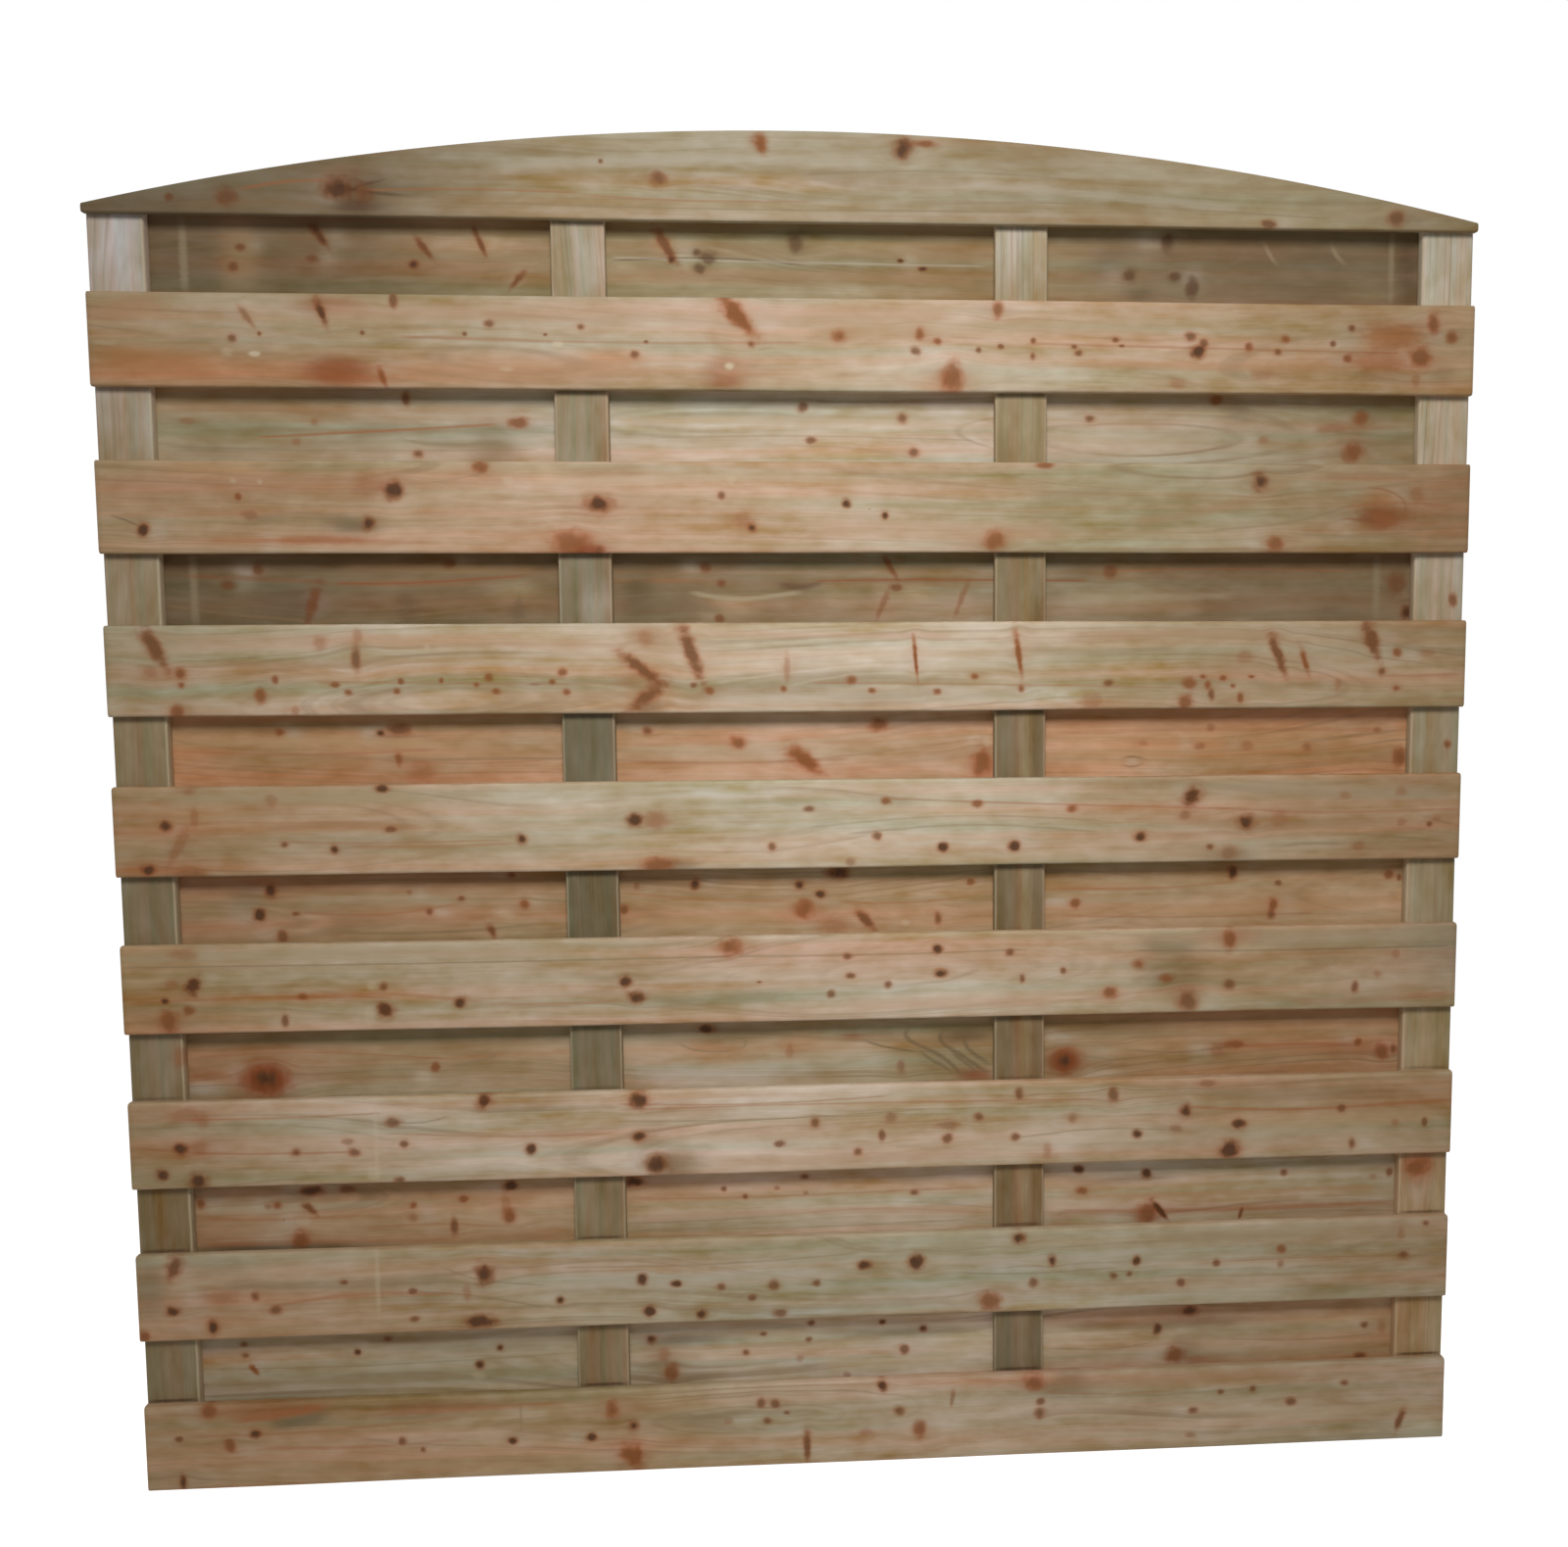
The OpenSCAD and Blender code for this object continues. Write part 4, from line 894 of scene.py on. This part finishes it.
def write_grain(piece, rng, place, run):
    """Coordinates that follow the grain, for the finer figure, and the growth rings' radius"""
    s, t, n = place.T
    pith_t = rng.uniform(10, 110) + swing(rng, s, 2400, 30)
    pith_n = rng.choice([-1, 1]) * (rng.uniform(22, 60) + swing(rng, s, 1900, 45)) + n.mean()
    radius = np.hypot(run - pith_t, n - pith_n)
    offset = rng.uniform(0, 20)
    write_vectors(piece, "grain", np.stack([s * MM + offset, run * MM, n * MM], -1))
    write_vectors(piece, "rings", np.stack([radius * MM + offset, s * MM, np.zeros(len(s))], -1))


def behind(x, z):
    """Where a point seen in the plane of the front faces lies on the back boards' front face"""
    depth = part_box("back_board_1")[0].y
    reach = (depth - EYE.y) / (FRONT_FACE - EYE.y)
    return EYE.x / MM + (x - EYE.x / MM) * reach, EYE.z / MM + (z - EYE.z / MM) * reach


def move_behind(item, first, spots, gap_floor, board_floor):
    """A knot, streak or patch that is seen through a gap, with its spots moved onto the back board. The
    spots' coordinates start at place number first in it."""
    moved = []
    for place in range(first, first + 2 * spots, 2):
        x, z = behind(item[place], item[place + 1] + gap_floor)
        moved += [x, z - board_floor]
    return (*item[:first], *moved, *item[first + 2 * spots:])


def hidden_knots(rng, low, high, gap_floor, gap_top):
    """A few knots on the strips of a back board that the front boards cover in the photograph"""
    seen = [behind(0, z)[1] - low for z in (gap_floor, gap_top)]
    knots = []
    for start, end in ((0, seen[0]), (seen[1], high - low)):
        size = (end - start) / 4.4
        if size > 2.2:
            for x in rng.uniform(90, 1710, 4):
                knots.append((x, (start + end) / 2, size * 1.3, size, rng.choice([0, 1])))
    return [(*knot[:4], (BROWN, RED)[knot[4]]) for knot in knots]


def stations(length):
    count = round(length / STATION)
    inner = np.linspace(0, length, count + 1)[1:-1]
    return np.concatenate([[0, SAWN_EDGE], inner, [length - SAWN_EDGE, length]])


def dress(piece, node, rng, place, knots, streaks, patches, slot, materials):
    """Writes what the materials read, and puts the piece in the node's place"""
    s, t, _ = place.T
    slant = 0.001 if slot == "uprights" else 0.004
    run = parted_grain(s, t, knots) + swing(rng, s, 900, 5) + rng.uniform(-slant, slant) * (s - s.mean())
    write_grain(piece, rng, place, run)
    write_knots(piece, s, t, knots)
    write_streaks(piece, s, t, streaks)
    write_tint(piece, rng, s, t, (s.min(), s.max()), GROUND[node], knots, patches)
    for material in materials:
        piece.data.materials.append(material)
    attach(piece, "root")
    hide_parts(node)


def corners(node):
    low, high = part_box(node)
    return np.array(low) / MM, np.array(high) / MM


def make_board(node, seed, knots, streaks, patches, slot, materials, radius=4.0):
    """A straight board, its edges and ends a little uneven within the solid's box"""
    rng = np.random.default_rng(seed)
    low, high = corners(node)
    s = stations(high[0] - low[0]) + low[0]
    s = low[0] + rng.uniform(0, 1.2) + (s - low[0]) * (1 - rng.uniform(0.001, 0.0015))
    floor = low[2] + swing(rng, s, 1300, 1.4)
    top = high[2] - swing(rng, s, 1500, 1.4)
    thin = swing(rng, s, 700, 0.5)
    in_front = high[1] < 0
    near = low[1] + thin * in_front
    far = high[1] - thin * (not in_front)
    piece, place = stick_mesh(node + "_wood", s, floor, top, near, far, radius, FACE_STRIPS, False)
    place = place - (0, low[2], 0)
    dress(piece, node, rng, place, knots, streaks, patches, slot, materials)


ARCH_END_HEIGHT = 12
ARCH_EDGE = 3.0


def make_arched_board(seed, materials):
    """The top board: a straight lower edge and a circular arc above"""
    node = "arched_board"
    rng = np.random.default_rng(seed)
    low, high = corners(node)
    rise = high[2] - low[2] - ARCH_END_HEIGHT
    half = (high[0] - low[0]) / 2
    radius = (half ** 2 + rise ** 2) / (2 * rise)
    s = stations(high[0] - low[0]) + low[0]
    curve = high[2] - radius + np.sqrt(radius ** 2 - (s - half) ** 2)
    floor = low[2] + swing(rng, s, 1300, 1.0)
    near = low[1] + swing(rng, s, 700, 0.5)
    far = np.full(len(s), high[1])
    piece, place = stick_mesh(node + "_wood", s, floor, curve, near, far, ARCH_EDGE, FACE_STRIPS, False)
    place = place - (0, low[2], 0)
    dress(piece, node, rng, place, KNOTS[node], STREAKS[node], PATCHES[node], "arched_board", materials)


def make_upright(node, seed, materials):
    """An upright batten, its grain running up it"""
    rng = np.random.default_rng(seed)
    low, high = corners(node)
    s = stations(high[2] - low[2]) + low[2]
    left = low[0] + swing(rng, s, 1300, 0.8)
    right = high[0] - swing(rng, s, 1300, 0.8)
    near = np.full(len(s), low[1])
    far = np.full(len(s), high[1])
    piece, place = stick_mesh(node + "_wood", s, left, right, near, far, 3.0, UPRIGHT_STRIPS, True)
    knots = [(z, x, b, a, look) for x, z, a, b, look in UPRIGHT_KNOTS[node]]
    patches = [(z, x, b, a, tone, strength) for x, z, a, b, tone, strength in UPRIGHT_PATCHES[node]]
    # The pale lines are painted highlights on the eased edges; the dark lines are painted shadow in the corner above a
    # low front board's upper edge
    lines = [("bone", 1.6, strength, 0, x, 1800, x) for x, strength in EDGE_HIGHLIGHTS[node]]
    lines += [("bark", 2.0, strength, z, low[0], z, high[0]) for z, strength in CONTACT_SHADOWS]
    dress(piece, node, rng, place, knots, lines, patches, "uprights", materials)


class Shader:
    """Short calls for the nodes of a material or of the world"""

    def __init__(self, owner):
        self.owner = owner
        owner.use_nodes = True
        self.tree = owner.node_tree
        self.tree.nodes.clear()

    def node(self, kind, inputs, **settings):
        made = self.tree.nodes.new(kind)
        for key, value in settings.items():
            setattr(made, key, value)
        for key, value in inputs.items():
            if isinstance(value, bpy.types.NodeSocket):
                self.tree.links.new(value, made.inputs[key])
            else:
                made.inputs[key].default_value = value
        return made

    def attribute(self, name):
        return self.node("ShaderNodeAttribute", {}, attribute_name=name).outputs["Vector"]

    def math(self, operation, a, b=0.0, c=0.0):
        return self.node("ShaderNodeMath", {0: a, 1: b, 2: c}, operation=operation).outputs[0]

    def stretched(self, vector, factors):
        made = self.node("ShaderNodeVectorMath", {0: vector, 1: factors}, operation="MULTIPLY")
        return made.outputs[0]

    def shifted(self, vector):
        """The same coordinates somewhere else, for a noise of its own"""
        return self.node("ShaderNodeVectorMath", {0: vector, 1: (31.7, 4.3, 2.9)}, operation="ADD").outputs[0]

    def noise(self, vector, factors, detail=2.0, roughness=0.5):
        inputs = {"Vector": self.stretched(vector, factors), "Scale": 1.0, "Detail": detail}
        inputs["Roughness"] = roughness
        return self.node("ShaderNodeTexNoise", inputs).outputs["Fac"]

    def step(self, value, start, end, low=0.0, high=1.0):
        inputs = {"Value": value, "From Min": start, "From Max": end, "To Min": low, "To Max": high}
        return self.node("ShaderNodeMapRange", inputs, interpolation_type="SMOOTHSTEP").outputs["Result"]

    def mix(self, factor, a, b):
        made = self.node("ShaderNodeMix", {0: factor, 6: a, 7: b}, data_type="RGBA")
        return made.outputs[2]

    def parts(self, vector):
        return self.node("ShaderNodeSeparateXYZ", {0: vector}).outputs

    def finish(self, colour, roughness, height, depth):
        bump = self.node("ShaderNodeBump", {"Height": height, "Strength": 1.0, "Distance": depth})
        inputs = {"Base Color": colour, "Roughness": roughness, "Normal": bump.outputs[0]}
        inputs["Specular IOR Level"] = 0.25
        surface = self.node("ShaderNodeBsdfPrincipled", inputs)
        self.node("ShaderNodeOutputMaterial", {"Surface": surface.outputs[0]})
        return self.owner

    def seen(self):
        """1 for a ray from the camera, or one that a mirror or glass sends on from it"""
        path = self.node("ShaderNodeLightPath", {}).outputs
        sent_on = self.math("MAXIMUM", path["Is Glossy Ray"], path["Is Transmission Ray"])
        return self.math("MAXIMUM", path["Is Camera Ray"], sent_on)


def rgba(tone):
    return (*linear(tone), 1.0)


KNOT_BROWN = (0.176, 0.072, 0.026, 1.0)
KNOT_RED = (0.345, 0.114, 0.028, 1.0)
KNOT_BLACK = (0.070, 0.027, 0.010, 1.0)
# The share of the board's own tone that is left in the wood round a knot
RIM_BROWN = (0.53, 0.46, 0.37, 1.0)
RIM_RED = (0.80, 0.42, 0.26, 1.0)


def streak_layer(sh, number, colour, ragged):
    """One set of streaks over the wood"""
    place = sh.parts(sh.attribute(f"streak_{number}"))
    away = sh.math("ADD", sh.math("ABSOLUTE", place[0]), ragged)
    cover = sh.math("MULTIPLY", sh.step(away, 1.6, 0.2), place[1])
    return sh.mix(cover, colour, sh.attribute(f"streak_tone_{number}"))


def knot_layer(sh, number, colour, ragged, mottled):
    """One set of knots over the wood: a warm halo, the knot and its dark heart"""
    place = sh.parts(sh.attribute(f"knot_{number}"))
    look = sh.parts(sh.attribute(f"look_{number}"))
    flat = sh.node("ShaderNodeCombineXYZ", {0: place[0], 1: place[1]}).outputs[0]
    distance = sh.node("ShaderNodeVectorMath", {0: flat}, operation="LENGTH").outputs["Value"]
    distance = sh.math("ADD", distance, ragged)
    cover = place[2]
    core = sh.math("MULTIPLY", sh.step(distance, 1.5, 0.5), cover)
    halo = sh.math("MULTIPLY", sh.step(distance, 2.05, 0.6), cover)
    share = sh.mix(sh.step(look[1], 0.0, 0.4), RIM_BROWN, RIM_RED)
    warm = sh.node("ShaderNodeVectorMath", {0: colour, 1: share}, operation="MULTIPLY").outputs[0]
    wood = sh.mix(look[1], KNOT_BROWN, KNOT_RED)
    wood = sh.mix(sh.step(distance, 0.35, 1.15, 0.0, 0.75), wood, warm)
    inner = sh.math("ADD", distance, mottled)
    dark = sh.math("MULTIPLY", look[0], sh.step(inner, 1.1, 0.25))
    wood = sh.mix(dark, wood, KNOT_BLACK)
    wood = sh.mix(look[2], wood, rgba("bone"))
    warm = sh.mix(look[2], warm, rgba("bone"))
    colour = sh.mix(sh.math("MULTIPLY", halo, 0.32), colour, warm)
    return sh.mix(core, colour, wood)


def swayed(sh, shade, value, tilt):
    """A multiplier for each colour, moved by how far a noise is from its middle"""
    inputs = {0: sh.math("SUBTRACT", value, 0.5), 1: tilt, 2: shade}
    return sh.node("ShaderNodeVectorMath", inputs, operation="MULTIPLY_ADD").outputs[0]


def wood(name, bands=(1.1, 40, 34), warmth=1.0, rings=0.3, fibre=0.12, end_grain=False):
    """Planed softwood: bands of warmer and greyer wood, growth rings, fibres along the grain, and knots"""
    sh = Shader(bpy.data.materials.new(name))
    grain = sh.attribute("grain")
    lines = sh.noise(sh.attribute("rings"), (230, 0.8, 1), detail=2.0)
    late = sh.step(lines, 0.50, 0.68)
    patchy = sh.noise(grain, (2.6, 20, 12), detail=2.0)
    fibres = sh.noise(grain, (14, 520, 400), detail=3.0)

    clouds = sh.noise(sh.shifted(grain), (3.5, 13, 10), detail=4.0, roughness=0.65)
    shade = swayed(sh, (1.01, 1.02, 1.04), clouds, (1.10, 1.65, 2.70))
    pink = [warmth * x for x in (0.75, 0.05, 0.10)]
    shade = swayed(sh, shade, sh.noise(grain, bands, detail=2.0), pink)
    shade = swayed(sh, shade, sh.noise(grain, (2.4, 110, 80), detail=2.0), (0.31, 0.44, 0.79))
    shade = swayed(sh, shade, sh.noise(grain, (24, 50, 40), detail=2.0), (0.40, 0.56, 0.95))
    shade = swayed(sh, shade, fibres, [fibre * 2.2] * 3)
    strength = sh.step(patchy, 0.35, 0.7, 0.25 * rings, 1.6 * rings)
    dark = sh.math("MULTIPLY", late, strength)
    tone = sh.node("ShaderNodeVectorMath", {0: sh.attribute("tint"), 1: shade}, operation="MULTIPLY").outputs[0]
    colour = sh.mix(dark, tone, rgba("umber"))
    height = sh.math("MULTIPLY_ADD", late, 0.4, sh.math("MULTIPLY", fibres, 0.5))
    if end_grain:
        colour = sh.mix(sh.math("MULTIPLY", late, 0.55), colour, rgba("umber"))
        colour = sh.mix(0.25, colour, rgba("moss"))
        return sh.finish(colour, 0.85, height, 0.0004)
    uneven = sh.noise(grain, (30, 420, 300), detail=2.0)
    wavy = sh.math("MULTIPLY_ADD", uneven, 1.3, -0.65)
    for number in range(STREAK_SETS):
        colour = streak_layer(sh, number, colour, wavy)
    ragged = sh.math("MULTIPLY_ADD", sh.noise(grain, (80, 130, 130), detail=1.0), 1.0, -0.5)
    mottled = sh.math("MULTIPLY_ADD", sh.noise(grain, (120, 200, 200), detail=1.0), 0.9, -0.45)
    for number in range(KNOT_SETS):
        colour = knot_layer(sh, number, colour, ragged, mottled)
    roughness = sh.step(fibres, 0.2, 0.8, 0.64, 0.80)
    return sh.finish(colour, roughness, height, 0.0003)


def make_screen():
    ends = wood("end_grain", end_grain=True)
    front = [wood("front_board_wood"), ends]
    back = [wood("back_board_wood", rings=0.35), ends]
    arch = [wood("arched_board_wood", warmth=0.5), ends]
    post = [wood("upright_wood", bands=(0.5, 75, 60), warmth=0.8, rings=0.3, fibre=0.14), ends]
    for row in range(1, BOARDS + 1):
        node = f"front_board_{row}"
        make_board(node, 100 + row, KNOTS[node], STREAKS[node], PATCHES[node], "front_boards", front)
        gap_floor = corners(node)[1][2]
        above = f"front_board_{row + 1}" if row < BOARDS else "arched_board"
        gap_top = corners(above)[0][2]
        node = f"back_board_{row}"
        low, high = corners(node)
        shift = (gap_floor, low[2])
        knots = [move_behind(knot, 0, len(knot) - 4, *shift) for knot in BEHIND[node]]
        patches = [move_behind(patch, 0, 1, *shift) for patch in BEHIND_PATCHES_AND_SHADOWS[node]]
        streaks = [move_behind(streak, 3, len(streak) // 2 - 1, *shift) for streak in STREAKS[node]]
        rng = np.random.default_rng(300 + row)
        knots += hidden_knots(rng, low[2], high[2], gap_floor, gap_top)
        make_board(node, 200 + row, knots, streaks, patches, "back_boards", back)
    make_arched_board(400, arch)
    for number, node in enumerate(UPRIGHTS):
        make_upright(node, 500 + number, post)


FLOOR_SIZE = 16.0


def make_floor():
    """A pale floor that shows white to the eye and keeps the screen's shadow"""
    sh = Shader(bpy.data.materials.new("pale_floor"))
    half = FLOOR_SIZE / 2
    centre = cad_box[1].x / 2
    mesh = bpy.data.meshes.new("floor")
    points = [(centre - half, -half, 0), (centre + half, -half, 0), (centre + half, half, 0), (centre - half, half, 0)]
    mesh.from_pydata(points, [], [(0, 1, 2, 3)])
    floor = bpy.data.objects.new("floor", mesh)
    bpy.context.scene.collection.objects.link(floor)
    matt = sh.node("ShaderNodeBsdfDiffuse", {"Color": (0.8, 0.8, 0.8, 1.0)}).outputs[0]
    glow = sh.node("ShaderNodeEmission", {"Color": (1, 1, 1, 1), "Strength": 0.88}).outputs[0]
    bright = sh.node("ShaderNodeAddShader", {0: matt, 1: glow}).outputs[0]
    both = sh.node("ShaderNodeMixShader", {0: sh.seen(), 1: matt, 2: bright}).outputs[0]
    sh.node("ShaderNodeOutputMaterial", {"Surface": both})
    mesh.materials.append(sh.owner)


def make_world():
    """White to the eye, and a soft even light on the screen"""
    world = bpy.data.worlds.new("studio")
    bpy.context.scene.world = world
    sh = Shader(world)
    soft = sh.node("ShaderNodeBackground", {"Color": (1.0, 0.98, 0.95, 1), "Strength": 0.17}).outputs[0]
    white = sh.node("ShaderNodeBackground", {"Color": (1, 1, 1, 1), "Strength": 1.0}).outputs[0]
    both = sh.node("ShaderNodeMixShader", {0: sh.seen(), 1: soft, 2: white}).outputs[0]
    sh.node("ShaderNodeOutputWorld", {"Surface": both})


def soft_box(name, place, aim, energy, spread):
    """A square lamp whose light falls off evenly away from where it is aimed"""
    lamp = bpy.data.lights.new(name, "AREA")
    lamp.shape = "SQUARE"
    lamp.size = 0.8
    lamp.energy = energy
    lamp.spread = math.radians(spread)
    lamp.color = (1.0, 0.985, 0.96)
    light = bpy.data.objects.new(name, lamp)
    bpy.context.scene.collection.objects.link(light)
    light.location = place
    light.rotation_euler = (Vector(aim) - Vector(place)).to_track_quat("-Z", "Y").to_euler()


def make_lights():
    """One soft box above the camera, whose light the photograph's shadows show, and one for the back"""
    soft_box("front_box", (0.91, -2.42, 2.58), (0.91, 0, 0.98), 12.1, 79)
    soft_box("back_box", (0.91, 2.9, 2.60), (0.91, 0, 0.90), 14, 100)


def make_camera():
    """The photograph's view, from a little left of the middle and at about two thirds of the height"""
    data = bpy.data.cameras.new("camera")
    data.sensor_width = 36
    data.lens = 36 * FOCAL_PIXELS / PHOTO_WIDTH
    data.shift_x = -0.1
    camera = bpy.data.objects.new("camera", data)
    bpy.context.scene.collection.objects.link(camera)
    camera.location = EYE
    camera.rotation_euler = [math.radians(angle) for angle in (83.910, 0.127, -4.620)]
    bpy.context.scene.camera = camera


bpy.context.scene.view_settings.view_transform = "Standard"
make_camera()
make_world()
make_lights()
make_floor()
make_screen()
